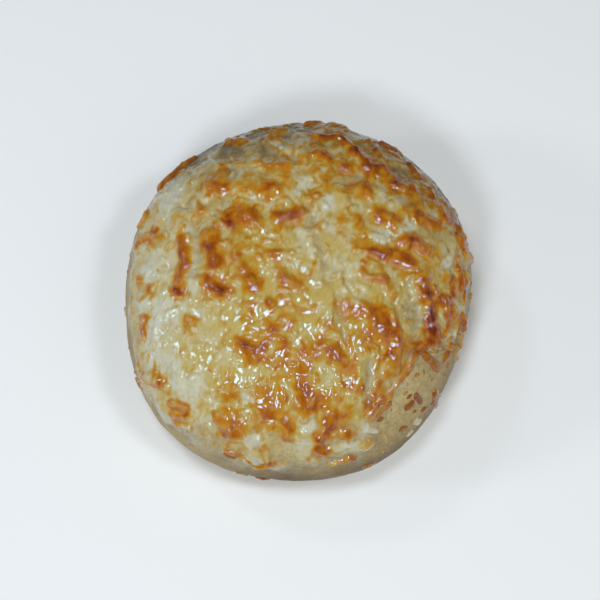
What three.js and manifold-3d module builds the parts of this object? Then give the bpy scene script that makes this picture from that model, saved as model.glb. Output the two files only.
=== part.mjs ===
// A round bread roll, baked under a sheet of melted grated cheese.
// Millimetres, +Z up. The origin is under the middle of the roll, on the surface it stands on.
// A place on the bread is given by its bearing, anticlockwise from +X in plan, and its arc,
// the distance from the top of the roll measured down over the crust.

import * as THREE from "three";
import { mergeVertices } from "three/addons/utils/BufferGeometryUtils.js";
import Module from "manifold-3d";

const wasm = await Module();
wasm.setup();

const DEGREE = Math.PI / 180;

// The bread
const ROLL_RADIUS = 52.6; // mean plan radius at the waist
const ROLL_HEIGHT = 48; // top of the bread, under the cheese
const WAIST_HEIGHT = 18.5; // height of the widest part
const UNDER_WAIST = 27; // depth of the lower half, which the flat base cuts short
const SHOULDER_FULLNESS = 2.3; // 2 is an elliptical profile, more is squarer
const PLAN_WAVES = [
  // the uneven plan outline: number of crests, their share of the radius, bearing of one crest
  { crests: 2, share: 0.034, bearing: 75 },
  { crests: 3, share: 0.01, bearing: 28 },
  { crests: 4, share: 0.012, bearing: 38 },
  { crests: 5, share: 0.008, bearing: 11 },
];
const PLAN_MIDDLE = { x: 0.3, y: -0.44 }; // of the uneven outline, brought over the origin at the end
const BREAD_SIDES = 60; // facets round the bread
const RINGS_ABOVE_WAIST = 13;
const RINGS_BELOW_WAIST = 6;
const FINE_STEPS = 400; // of the profile that arcs are measured on, each side of the waist

// The melted cheese
const SHEET_GAP = 0.3; // between the bread and the underside of the cheese
const FILM_THICKNESS = 1.3; // of the sheet between the shreds
const SHEET_EDGE = [
  // the tongues and notches of the sheet's edge: bearing and arc
  [5, 62],
  [40, 59],
  [62, 58],
  [85, 60],
  [127, 57],
  [141, 60],
  [168, 60],
  [198, 61],
  [222, 64],
  [238, 62],
  [252, 64],
  [268, 62],
  [280, 58],
  [290, 58],
  [297, 50],
  [303, 45],
  [318, 45.5],
  [331, 45],
  [337, 50],
  [346, 55],
  [354, 60],
];
const EDGE_FRAY = { tongues: 29, length: 0.9 }; // the finer raggedness of that edge
const EDGE_SLOPE = 2.4; // arc over which the sheet's edge rises
const SUNK_DEPTH = 2.2; // how far the sheet's outline dips into the bread where there is no cheese
const SHELL_RIM = 67; // arc of the rim of the shell that the sheet is cut from
const SHELL_DETAIL = 27; // fineness of that shell

// Browned shreds that stand out: plan places of their two ends and half their width
const PROUD_SHREDS = [
  { from: [-32, 9], to: [-35, -5], halfWidth: 2.2 },
  { from: [-25, 12], to: [-24, -1], halfWidth: 2.9 },
  { from: [-18, 17], to: [-14, -7], halfWidth: 2.1 },
  { from: [-26, -5], to: [-21, -9], halfWidth: 2.6 },
  { from: [-5, 13], to: [1, 15], halfWidth: 2.3 },
  { from: [-14, -22], to: [-10, -24], halfWidth: 3.4 },
  { from: [1, -30], to: [2, -40], halfWidth: 3.2 },
  { from: [-3, -41], to: [-3, -46], halfWidth: 2.3 },
  { from: [13, -38], to: [7, -46], halfWidth: 2.3 },
  { from: [18, -13], to: [25, -20], halfWidth: 3.4 },
  { from: [35, -7], to: [40, -16], halfWidth: 2.2 },
  { from: [20, 4], to: [32, 1], halfWidth: 2.4 },
  { from: [6, 42], to: [16, 37], halfWidth: 2.6 },
  { from: [16, 37], to: [26, 29], halfWidth: 2.8 },
  { from: [26, 29], to: [35, 18], halfWidth: 2.6 },
  { from: [-10, 29], to: [-1, 31], halfWidth: 2.1 },
  { from: [-46, -26], to: [-35, -32], halfWidth: 2.1 },
  { from: [-36, -34], to: [-28, -40], halfWidth: 2.2 },
  { from: [-22, -41], to: [-11, -52], halfWidth: 2.2 },
];
const PROUD_HEIGHT = 1.9; // of those shreds above the film

// Shreds that lie over the whole sheet, melted nearly flat
const LAID_SHREDS = 110;
const LAID_SEED = 41;
const LAID_REACH = 58; // arc out to which their middles lie
const LAID_LENGTH = { least: 6, most: 17 };
const LAID_HALF_WIDTH = { least: 1.5, most: 2.3 };
const LAID_HEIGHT = { least: 0.4, most: 1.1 };
const GOLDEN_TURN = Math.PI * (3 - Math.sqrt(5));

// Shreds and bits that baked on to the bare shoulder: plan places of their two ends and radius
const SHOULDER_STRAYS = [
  { from: [33.6, -33.2], to: [34.6, -34.2], radius: 1.3 },
  { from: [31, -36.6], to: [32.2, -35.4], radius: 1.2 },
  { from: [38.2, -33.4], to: [38.9, -32.6], radius: 0.9 },
  { from: [35.6, -35.8], to: [36.8, -35.2], radius: 1 },
  { from: [34, -38.6], to: [34.6, -38.4], radius: 1.2 },
  { from: [29.6, -41.8], to: [30.6, -41.2], radius: 1 },
  { from: [31.8, -41.8], to: [32.3, -41.3], radius: 1 },
  { from: [33.3, -28.2], to: [33.8, -27.8], radius: 0.7 },
  { from: [20.5, -51.5], to: [22, -50.6], radius: 1 },
  { from: [22, -39.2], to: [25.2, -36.6], radius: 1.4 },
  { from: [21.4, -41.2], to: [23.2, -40.4], radius: 1 },
  { from: [36, -22.4], to: [40, -24.6], radius: 1.4 },
  { from: [42.2, -21.5], to: [44, -18], radius: 1.4 },
  { from: [46.2, -12.2], to: [46.8, -14], radius: 1.7 },
  { from: [45.6, -17.2], to: [46, -18.6], radius: 1.7 },
];

// Short shreds that fell past the sheet all round and baked on to the side of the bread
const STRAY_SHREDS = 22;
const STRAY_SEED = 17;
const STRAY_LENGTH = { least: 1.5, most: 6 };
const STRAY_RADIUS = { least: 0.9, most: 1.4 };
const STRAY_BAND = 15; // arc below the edge of the sheet that they lie in
const STRAY_SUNK = 0.45; // share of the radius that is sunk in the crust
const STRAY_CLEARANCE = 0.5; // from the sheet
const STRAY_CAP_STEPS = 2; // facets from the end of a stray to its side
const STRAY_SIDES = 6;

const CRUST = { color: "#b39a6c", roughness: 0.7, metalness: 0 };
const BROWNED_CHEESE = { color: "#c89a45", roughness: 0.35, metalness: 0 };
const WELD_DISTANCE = 1e-4; // between vertices that are one
const CAPSULE_AXIS = new THREE.Vector3(0, 1, 0);

// A row of uneven numbers from 0 to 1, the same on every run.
function drawsFrom(seed) {
  let state = seed;
  return () => {
    state = (state * 16807) % 2147483647;
    return state / 2147483647;
  };
}

function between({ least, most }, share) {
  return least + (most - least) * share;
}

// The bread's profile, from its top to its base: radius and height by arc

// Even turns about the waist keep the samples close together where the profile bends.
function upperProfilePoint(turn) {
  const power = 2 / SHOULDER_FULLNESS;
  const up = (ROLL_HEIGHT - WAIST_HEIGHT) * Math.pow(Math.max(0, Math.cos(turn)), power);
  return new THREE.Vector2(ROLL_RADIUS * Math.pow(Math.sin(turn), power), WAIST_HEIGHT + up);
}

function lowerProfilePoint(height) {
  const down = (WAIST_HEIGHT - height) / UNDER_WAIST;
  const width = Math.pow(1 - Math.pow(down, SHOULDER_FULLNESS), 1 / SHOULDER_FULLNESS);
  return new THREE.Vector2(ROLL_RADIUS * width, height);
}

function sampleProfile(upperSteps, lowerSteps) {
  const points = [];
  for (let i = 0; i <= upperSteps; i++) {
    points.push(upperProfilePoint(((i / upperSteps) * Math.PI) / 2));
  }
  for (let i = 1; i <= lowerSteps; i++) {
    points.push(lowerProfilePoint(WAIST_HEIGHT * (1 - i / lowerSteps)));
  }
  return points;
}

const FINE_PROFILE = sampleProfile(FINE_STEPS, FINE_STEPS);
const FINE_ARCS = [0];
for (let i = 1; i < FINE_PROFILE.length; i++) {
  FINE_ARCS.push(FINE_ARCS[i - 1] + FINE_PROFILE[i].distanceTo(FINE_PROFILE[i - 1]));
}

// Point and outward direction of the profile at an arc.
function profileAt(arc) {
  let i = 1;
  while (i < FINE_ARCS.length - 1 && FINE_ARCS[i] < arc) i++;
  const share = (arc - FINE_ARCS[i - 1]) / (FINE_ARCS[i] - FINE_ARCS[i - 1]);
  const point = FINE_PROFILE[i - 1].clone().lerp(FINE_PROFILE[i], share);
  const along = FINE_PROFILE[i].clone().sub(FINE_PROFILE[i - 1]).normalize();
  return { point, outward: new THREE.Vector2(-along.y, along.x) };
}

// The plan outline's factor on the radius.
function planWave(bearing) {
  let factor = 1;
  for (const { crests, share, bearing: crest } of PLAN_WAVES) {
    factor += share * Math.cos(crests * (bearing - crest * DEGREE));
  }
  return factor;
}

// A point at a height over the crust.
function overCrust(bearing, arc, lift) {
  const { point, outward } = profileAt(arc);
  const radius = (point.x + outward.x * lift) * planWave(bearing);
  const height = point.y + outward.y * lift;
  return new THREE.Vector3(radius * Math.cos(bearing), radius * Math.sin(bearing), height);
}

// The arc of the crust under a plan place, above the waist.
function arcAtPlan(x, y) {
  const radius = Math.hypot(x, y) / planWave(Math.atan2(y, x));
  let i = 1;
  while (FINE_PROFILE[i].x < radius && FINE_PROFILE[i].y > WAIST_HEIGHT) i++;
  return FINE_ARCS[i];
}

// The crust unrolled on to a plane: bearing kept, arc as the distance from the middle.
function unrolled(bearing, arc) {
  return new THREE.Vector3(arc * Math.cos(bearing), arc * Math.sin(bearing), 0);
}

function unrolledPlan([x, y]) {
  return unrolled(Math.atan2(y, x), arcAtPlan(x, y));
}

// Solids from three.js geometry, and back

function solidFrom(geometry) {
  geometry.deleteAttribute("normal");
  geometry.deleteAttribute("uv");
  const merged = mergeVertices(geometry, WELD_DISTANCE);
  return new wasm.Manifold(
    new wasm.Mesh({
      numProp: 3,
      vertProperties: new Float32Array(merged.attributes.position.array),
      triVerts: new Uint32Array(merged.index.array),
    }),
  );
}

function geometryFrom(solid) {
  const { vertProperties, triVerts } = solid.getMesh();
  const geometry = new THREE.BufferGeometry();
  geometry.setAttribute("position", new THREE.BufferAttribute(vertProperties, 3));
  geometry.setIndex(new THREE.BufferAttribute(triVerts, 1));
  geometry.computeVertexNormals();
  return geometry;
}

function moveVertices(geometry, move) {
  const places = geometry.attributes.position;
  const place = new THREE.Vector3();
  for (let i = 0; i < places.count; i++) {
    place.fromBufferAttribute(places, i);
    const { x, y, z } = move(place);
    places.setXYZ(i, x, y, z);
  }
  return geometry;
}

// The bread, or the same form lifted off its crust by a gap.
function breadSolid(lift) {
  const turned = sampleProfile(RINGS_ABOVE_WAIST, RINGS_BELOW_WAIST);
  const lifted = turned.map((point, i) => {
    const before = turned[Math.max(0, i - 1)];
    const after = turned[Math.min(turned.length - 1, i + 1)];
    const along = after.clone().sub(before).normalize();
    return new THREE.Vector2(point.x - along.y * lift, point.y + along.x * lift);
  });
  lifted[0].set(0, ROLL_HEIGHT + lift);
  const base = lifted[lifted.length - 1];
  base.y = -lift;
  const outline = [new THREE.Vector2(0, base.y), ...lifted.reverse()];
  const round = new THREE.LatheGeometry(outline, BREAD_SIDES).rotateX(Math.PI / 2);
  moveVertices(round, ({ x, y, z }) => {
    const wave = planWave(Math.atan2(y, x));
    return { x: x * wave, y: y * wave, z };
  });
  return solidFrom(round);
}

// Shreds, as ridges on the unrolled crust

function proudShreds() {
  return PROUD_SHREDS.map(({ from, to, halfWidth }) => ({
    line: new THREE.Line3(unrolledPlan(from), unrolledPlan(to)),
    halfWidth,
    height: PROUD_HEIGHT,
  }));
}

function laidShreds() {
  const draw = drawsFrom(LAID_SEED);
  const shreds = [];
  for (let i = 0; i < LAID_SHREDS; i++) {
    const middle = unrolled(i * GOLDEN_TURN, LAID_REACH * Math.sqrt((i + 0.5) / LAID_SHREDS));
    const half = between(LAID_LENGTH, draw()) / 2;
    const turn = draw() * Math.PI;
    const reach = unrolled(turn, half);
    shreds.push({
      line: new THREE.Line3(middle.clone().sub(reach), middle.clone().add(reach)),
      halfWidth: between(LAID_HALF_WIDTH, draw()),
      height: between(LAID_HEIGHT, draw()),
    });
  }
  return shreds;
}

const SHREDS = [...proudShreds(), ...laidShreds()];

// Height of the piled shreds over the film: round-backed ridges, higher where they cross.
function shredRelief(place) {
  const nearest = new THREE.Vector3();
  let piled = 0;
  for (const { line, halfWidth, height } of SHREDS) {
    line.closestPointToPoint(place, true, nearest);
    const off = nearest.distanceTo(place) / halfWidth;
    if (off < 1) piled += Math.pow(height * Math.sqrt(1 - off * off), 3);
  }
  return Math.cbrt(piled);
}

// Arc at which the sheet ends: a smooth run from each tongue to the next notch, and a fray.
function sheetReach(bearing) {
  const degrees = THREE.MathUtils.euclideanModulo(bearing / DEGREE, 360);
  const next = Math.max(0, SHEET_EDGE.findIndex(([ahead]) => ahead > degrees));
  const after = SHEET_EDGE[next];
  const before = SHEET_EDGE.at(next - 1);
  const span = THREE.MathUtils.euclideanModulo(after[0] - before[0], 360);
  const gone = THREE.MathUtils.euclideanModulo(degrees - before[0], 360);
  const run = THREE.MathUtils.smoothstep(gone, 0, span);
  const fray = EDGE_FRAY.length * Math.sin(EDGE_FRAY.tongues * bearing);
  return THREE.MathUtils.lerp(before[1], after[1], run) + fray;
}

// 1 where the sheet lies, 0 on bare crust.
function sheetCover(bearing, arc) {
  return THREE.MathUtils.smoothstep(sheetReach(bearing) - arc, -EDGE_SLOPE / 2, EDGE_SLOPE / 2);
}

// The sheet: a shell over the top half of the bread, less the bread lifted by the gap.
function cheeseSolid() {
  const heart = new THREE.Vector3(0, 0, WAIST_HEIGHT);
  const shell = new THREE.IcosahedronGeometry(1, SHELL_DETAIL);
  moveVertices(shell, ({ x, y, z }) => {
    const bearing = Math.atan2(y, x);
    const drop = Math.acos(THREE.MathUtils.clamp(z, -1, 1)) / (Math.PI / 2);
    const arc = Math.min(1, drop) * SHELL_RIM;
    const cover = sheetCover(bearing, arc);
    const over = SHEET_GAP + FILM_THICKNESS + shredRelief(unrolled(bearing, arc));
    const onSheet = overCrust(bearing, arc, over * cover - SUNK_DEPTH * (1 - cover));
    return drop > 1 ? onSheet.lerp(heart, drop - 1) : onSheet;
  });
  const sheet = solidFrom(shell).subtract(breadSolid(SHEET_GAP));
  const pieces = sheet.decompose().sort((a, b) => b.volume() - a.volume());
  return pieces[0];
}

// The shreds and bits on the bare shoulder, between their two ends.
function shoulderStrays() {
  return SHOULDER_STRAYS.map(({ from, to, radius }) => {
    const [first, last] = [from, to].map(([x, y]) => overCrust(Math.atan2(y, x), arcAtPlan(x, y), 0));
    const x = (from[0] + to[0]) / 2;
    const y = (from[1] + to[1]) / 2;
    return {
      bearing: Math.atan2(y, x),
      arc: arcAtPlan(x, y),
      radius,
      length: first.distanceTo(last),
      along: last.sub(first).normalize(),
    };
  });
}

// The short shreds below the sheet's edge, each turned its own way on the crust.
function fallenStrays() {
  const draw = drawsFrom(STRAY_SEED);
  const strays = [];
  for (let i = 0; i < STRAY_SHREDS; i++) {
    const bearing = draw() * 360 * DEGREE;
    const arc = sheetReach(bearing) + STRAY_BAND * draw();
    const radius = between(STRAY_RADIUS, draw());
    const length = between(STRAY_LENGTH, draw());
    const middle = overCrust(bearing, arc, 0);
    const down = overCrust(bearing, arc + radius, 0).sub(middle).normalize();
    const outward = overCrust(bearing, arc, radius).sub(middle).normalize();
    const along = down.applyAxisAngle(outward, draw() * Math.PI);
    strays.push({ bearing, arc, radius, length, along });
  }
  return strays;
}

// A shred lying on the crust, made larger all round by a clearance.
function straySolid({ bearing, arc, radius, length, along }, clearance) {
  const bead = new THREE.CapsuleGeometry(radius + clearance, length, STRAY_CAP_STEPS, STRAY_SIDES);
  bead.applyQuaternion(new THREE.Quaternion().setFromUnitVectors(CAPSULE_AXIS, along));
  const { x, y, z } = overCrust(bearing, arc, radius * (1 - 2 * STRAY_SUNK));
  return solidFrom(bead.translate(x, y, z));
}

function addStrays(bread, cheese) {
  let whole = bread;
  for (const stray of [...shoulderStrays(), ...fallenStrays()]) {
    const clear = straySolid(stray, STRAY_CLEARANCE).intersect(cheese).isEmpty();
    if (clear) whole = whole.add(straySolid(stray, 0));
  }
  return whole;
}

function piece(name, solid, finish) {
  const mesh = new THREE.Mesh(geometryFrom(solid), new THREE.MeshStandardMaterial(finish));
  mesh.name = name;
  mesh.position.set(-PLAN_MIDDLE.x, -PLAN_MIDDLE.y, 0);
  return mesh;
}

const cheese = cheeseSolid();
const bread = addStrays(breadSolid(0), cheese);

const cheeseRoll = new THREE.Group();
cheeseRoll.add(piece("bread", bread, CRUST));
cheeseRoll.add(piece("cheese", cheese, BROWNED_CHEESE));

export default cheeseRoll;
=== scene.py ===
"""A round bread roll under melted, browned, grated cheese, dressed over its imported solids.

Shapes are worked out in millimetres and made into meshes in metres. A place on the roll is given
by its bearing, anticlockwise from +X in plan, and its arc, the distance from the top of the roll
measured down over the crust. The crust unrolls on to a plane by keeping the bearing and taking the
arc as the distance from the middle.
"""

import math
from typing import NamedTuple

import bmesh
import bpy
import numpy as np
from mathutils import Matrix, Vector


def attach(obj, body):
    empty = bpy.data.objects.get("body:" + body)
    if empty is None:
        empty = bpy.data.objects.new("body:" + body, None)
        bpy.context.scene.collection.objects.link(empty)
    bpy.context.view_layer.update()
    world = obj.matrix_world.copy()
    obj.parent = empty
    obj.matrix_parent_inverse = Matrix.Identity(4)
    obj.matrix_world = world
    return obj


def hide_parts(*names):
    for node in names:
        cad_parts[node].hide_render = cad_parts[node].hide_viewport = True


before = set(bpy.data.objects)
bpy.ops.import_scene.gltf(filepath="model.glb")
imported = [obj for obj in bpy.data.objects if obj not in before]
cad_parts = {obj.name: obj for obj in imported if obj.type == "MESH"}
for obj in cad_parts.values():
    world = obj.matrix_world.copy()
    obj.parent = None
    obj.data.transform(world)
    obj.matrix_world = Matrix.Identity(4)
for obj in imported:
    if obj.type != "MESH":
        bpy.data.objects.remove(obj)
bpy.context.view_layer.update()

bl_info = {
    "name": "Cheese roll",
    "version": (1, 0, 0),
    "blender": (4, 5, 0),
    "location": "3D View > Sidebar > Cheese roll",
    "description": "Builds a baked bread roll with melted grated cheese over its packed solids",
    "category": "Add Mesh",
}

MM = 0.001
TAU = 2 * math.pi
GOLDEN_TURN = math.pi * (3 - math.sqrt(5))
BODY = "root"


class Wave(NamedTuple):
    """One wave of the uneven plan outline."""

    crests: int
    share: float
    bearing: float


class Swell(NamedTuple):
    """Noise on the unrolled crust: its strength, the size of its swells in millimetres, its seed."""

    strength: float
    size: float
    seed: int


class Stretch(NamedTuple):
    """A stretch of bearings in degrees that comes in and goes out smoothly."""

    begins: float
    full: float
    fades: float
    ends: float

    def share(self, degrees):
        rise = smoothstep(self.begins, self.full, degrees)
        return rise * (1 - smoothstep(self.fades, self.ends, degrees))


class Ridge(NamedTuple):
    """A shred that stands out of the sheet: plan places of its ends and half width in millimetres."""

    start: tuple
    end: tuple
    half_width: float
    browning: float


class Trough(NamedTuple):
    """A dip between shreds: plan places of its ends, half width and depth in millimetres."""

    start: tuple
    end: tuple
    half_width: float
    depth: float


class Patch(NamedTuple):
    """A round patch of the sheet: plan place and radius in millimetres, and strength."""

    middle: tuple
    radius: float
    strength: float


class Stray(NamedTuple):
    """A bit of cheese on bare crust: plan places of its ends and radius in millimetres, browning."""

    start: tuple
    end: tuple
    radius: float
    browning: float


class Comb(NamedTuple):
    """Fine shreds melted side by side: plan place and radius in millimetres, bearing they run on."""

    middle: tuple
    radius: float
    bearing: float


class Lamp(NamedTuple):
    """A round light: its place and size in metres, its power in watts."""

    name: str
    place: tuple
    size: float
    power: float
    colour: tuple


def spots(kind, *rows):
    """Patches or combs from rows that start with a plan place."""
    return [kind((x, y), *rest) for x, y, *rest in rows]


def strips(kind, *rows):
    """Ridges, troughs or strays from rows that start with the plan places of two ends."""
    return [kind((x, y), (end_x, end_y), *rest) for x, y, end_x, end_y, *rest in rows]


# The bread's outline

PLAN_WAVES = (
    Wave(2, 0.034, 75),
    Wave(3, 0.010, 28),
    Wave(4, 0.012, 38),
    Wave(5, 0.008, 11),
)
PLAN_MIDDLE = np.array((0.3, -0.44, 0.0))
UNDER_WAIST = 27.0
SHOULDER_FULLNESS = 2.3
FINE_STEPS = 400
HALF_STEP = 0.5
POINTS_AT_ONCE = 4000

# What mixes a cell's place and the seed into an uneven number, and the strength of the noise

HASH_ACROSS = 127.1
HASH_UP = 311.7
HASH_SEED = 74.7
HASH_SPREAD = 43758.5453
NOISE_GAIN = 1.5

# Rings of the bread's mesh: a few under the sheet, and those that round off the foot, each given by
# its share of the radius and its height

COVERED_ARC = 38.0
COVERED_RINGS = 14
SKIN_BEGINS = 20.0
SKIN_ENDS_ABOVE_FOOT = 6.0
FOOT_ROUNDING = 1.5
FOOT_RINGS = ((0.975, 0.35), (0.955, 0.08), (0.93, 0.0), (0.5, 0.0))

# The baked skin's dimples and pores, and the fold above the foot at the front

SKIN_SWELLS = (Swell(0.16, 11.0, 3), Swell(0.10, 4.5, 4), Swell(0.05, 1.7, 5))
PORES = Swell(0.22, 2.2, 6)
PORE_EDGE = (0.45, 0.9)
FOLD = Stretch(228, 246, 285, 305)
FOLD_ARC = 73.0
FOLD_SWAY = 1.6
FOLD_SWAYS = 5
FOLD_HALF_WIDTH = 0.8
FOLD_DEPTH = 0.7

# How brown the crust baked, from 0 to 1, and the arcs over which each browning comes in; the waist, far
# side and front bands add painted shade as extra browning where the sides turn away from the light

CRUST_BAKING = 0.16
CRUST_MOTTLE = (Swell(0.14, 9.0, 61), Swell(0.09, 3.0, 62))
# Painted shade: the waist band, the far side and the front band under the shoulder darken the crust as if
# it baked more; the near left gets less of it, and it fades out low down
WAIST_PAINTED_SHADE = 0.50
WAIST_SHADE_ARCS = (51.0, 74.0)
NEAR_LEFT = Stretch(195, 215, 248, 262)
NEAR_LEFT_LESS_SHADE = 0.34
FAR_SHADED_SIDE = Stretch(0, 45, 128, 160)
FAR_PAINTED_SHADE = 0.58
FAR_SHADE_ARCS = (22.0, 53.0)
FRONT_SHADED = Stretch(240, 260, 300, 320)
FRONT_PAINTED_SHADE = 0.20
FRONT_SHADE_ARCS = (57.0, 67.0)
LOW_ARC = 69.0
LOW_RUN = (0.0, 9.0)
LOW_HIGHER_FAR = 11.0
LOW_PALER = 0.9
BARE_SHOULDER = Patch((27, -33), 6.0, 0.3)
BARE_SHOULDER_EDGE = (1.2, 0.3)

# The sheet's edge, as bearing and arc of its tongues and notches

SHEET_EDGE = (
    (5, 62), (40, 59), (62, 58), (85, 60), (127, 57), (141, 60), (168, 60), (198, 61), (222, 64),
    (238, 62), (247, 63.5), (257, 65), (267, 63), (280, 60), (290, 60.5), (296, 53), (303, 47.5),
    (318, 45.5), (330, 45.5), (335, 50.5), (341, 59), (348, 61), (355, 61),
)
EDGE_FRAY_TONGUES = 29
EDGE_FRAY_LENGTH = 0.9

# How far the sheet's pattern is drawn aside, and its edge wanders

DRAWN_ACROSS = (Swell(1.2, 7.0, 11), Swell(0.5, 3.2, 12))
DRAWN_UP = (Swell(1.2, 7.0, 13), Swell(0.5, 3.2, 14))
EDGE_WANDER = (Swell(1.0, 6.0, 15), Swell(0.3, 2.6, 16))

# How a shred melts in; pairs are distances in half widths between which a part of it comes in

SHRED_REACH = 1.6
SHRED_BACK_POWER = 1.7
FLANK_RISE = (0.30, 0.80)
FLANK_FALL = (1.25, 0.95)
STAIN_EDGE = (1.55, 0.10)
FLANK_DARKER = 1.3
BACK_PALER = 0.6
TONGUE_SLOPE = 1.5
FIRM_POKE = 2.0
FIRM_EDGE = (1.10, 0.40)
SHORTEST_SQUARED = 1e-9

# Ridges: higher where they are browner, wider or near the sheet's edge, and outlined near it

RIDGE_LEAST_RISE = 0.75
RIDGE_BROWN_RISE = 0.35
RIDGE_USUAL_HALF = 1.9
RIDGE_EDGE_RISE = 0.4
RIDGE_EDGE_ARCS = (50.0, 58.0)
RIDGE_OUTLINE = 0.6
RIDGE_OUTLINE_ARCS = (44.0, 50.0)
RIDGE_SPREAD = 1.2
RIDGE_STAIN = 0.70
RIDGE_POKE = 3.0

# Shreds laid over all the sheet, short shreds near its edge, and blisters; pairs are least and most

LAID_ARC = 60.0
LAID_HALF = (0.3, 2.6)
LAID_WIDTH = (1.1, 2.2)
LAID_HEIGHT = (0.15, 0.45)
LAID_BROWNING = (0.0, 0.26)
LAID_POKE = 1.0
LAID_OUTLINE = 0.6
RIM_SEED_STEP = 3
RIM_INSET = (1.5, 14.0)
RIM_HALF = (0.3, 2.0)
RIM_WIDTH = (0.9, 1.8)
RIM_BROWNING = (0.0, 0.45)
RIM_HEIGHT = (0.3, 0.65)
BLISTER_SEED_STEP = 7
BLISTER_ARC = 58.0
BLISTER_WIDTH = (0.6, 1.5)
BLISTER_LENGTH = 0.01
BLISTER_RISE = 0.5
BLISTER_BROWNING = 0.3

# The sheet's thickness: its film, thinner at the edge, its swells and wrinkles

FILM_USUAL = 0.9
FILM_SWELL = (Swell(0.5, 8.0, 21),)
FILM_LEAST = 0.15
FILM_EASE = 0.3
FILM_AT_EDGE = 0.25
HEAVY_INSIDE = (0.0, 16.0)
THINNED_AWAY = 0.8
SHEET_SWELLS = (Swell(0.18, 4.6, 24), Swell(0.04, 2.1, 23))
SWELL_AT_EDGE = 0.3
WRINKLES = (Swell(0.02, 1.3, 22), Swell(0.05, 2.4, 25))
COMB_RISE = 0.055
TROUGH_POWER = 1.5
EDGE_FADE = (0.0, 7.0)
FIRM_FADE = (0.0, 1.5)
THICK_LEAST = 0.05
THICK_EASE = 0.5
SKIN_HIDDEN = (0.3, 1.5)
PAST_EDGE = (0.0, -1.4)
PAST_EDGE_DROP = 2.0

# The sheet's browning

BROWN_SPOTS = (Swell(1.0, 2.6, 37), Swell(0.4, 1.2, 38))
CREST = (0.25, 1.1)
GOLDEN_USUAL = 0.82
GOLDEN_CREST = 0.30
GOLDEN_SPOTS = 0.58
GOLDEN_FAR_LESS = 0.38
GOLDEN_FAR = (16.0, 44.0)
TOAST_USUAL = 0.88
TOAST_SPOTS = 0.50
BROWN_LEAST = 0.02
BROWN_MOTTLE = (Swell(0.07, 3.6, 32), Swell(0.05, 1.4, 33))
PALE_LESS_BROWN = 0.30
SUNK_LESS_BROWN = 0.20

# How far the sheet hides the crust, and how yellow it is

COVER_THICK = (0.12, 1.15)
PALE_COVER = 0.8
GOLDEN_COVER = 0.9
GOLDEN_COVERS = (0.2, 0.4)
GOLDEN_COVER_EDGE = (0.0, 1.0)
SUNK_LESS_COVER = 0.5
BUTTER_USUAL = 0.68
BUTTER_SWELL = (Swell(0.5, 9.0, 35),)
BUTTER_MIDDLE = (2.0, -18.0)
BUTTER_REACH = (34.0, 12.0)
BUTTER_MORE = 0.6
BUTTER_FAR = (14.0, 40.0)
BUTTER_FAR_LESS = 0.2
PALE_LESS_BUTTER = 0.75
SUNK_LESS_BUTTER = 0.2

# Swells that make the patches' edges ragged, as strength and size; their seeds count on from the
# seed of each kind of patch

PATCH_RAGS = ((0.30, 4.0), (0.16, 1.7))
PATCH_EDGE = (1.35, 0.30)
PALE_SEED = 51
THIN_SEED = 53
GOLDEN_SEED = 55
GOLDEN_SPREAD = 0.98

# The meshes of the sheet and of the form that cuts its underside

ROW_PITCH = math.sqrt(0.75)
CORE_SIDES = 180
CORE_RINGS = 60

# Shreds that stand out of the sheet, some left pale, from the left round by the front to the far side:
# the plan places of their ends, half width and browning

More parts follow.
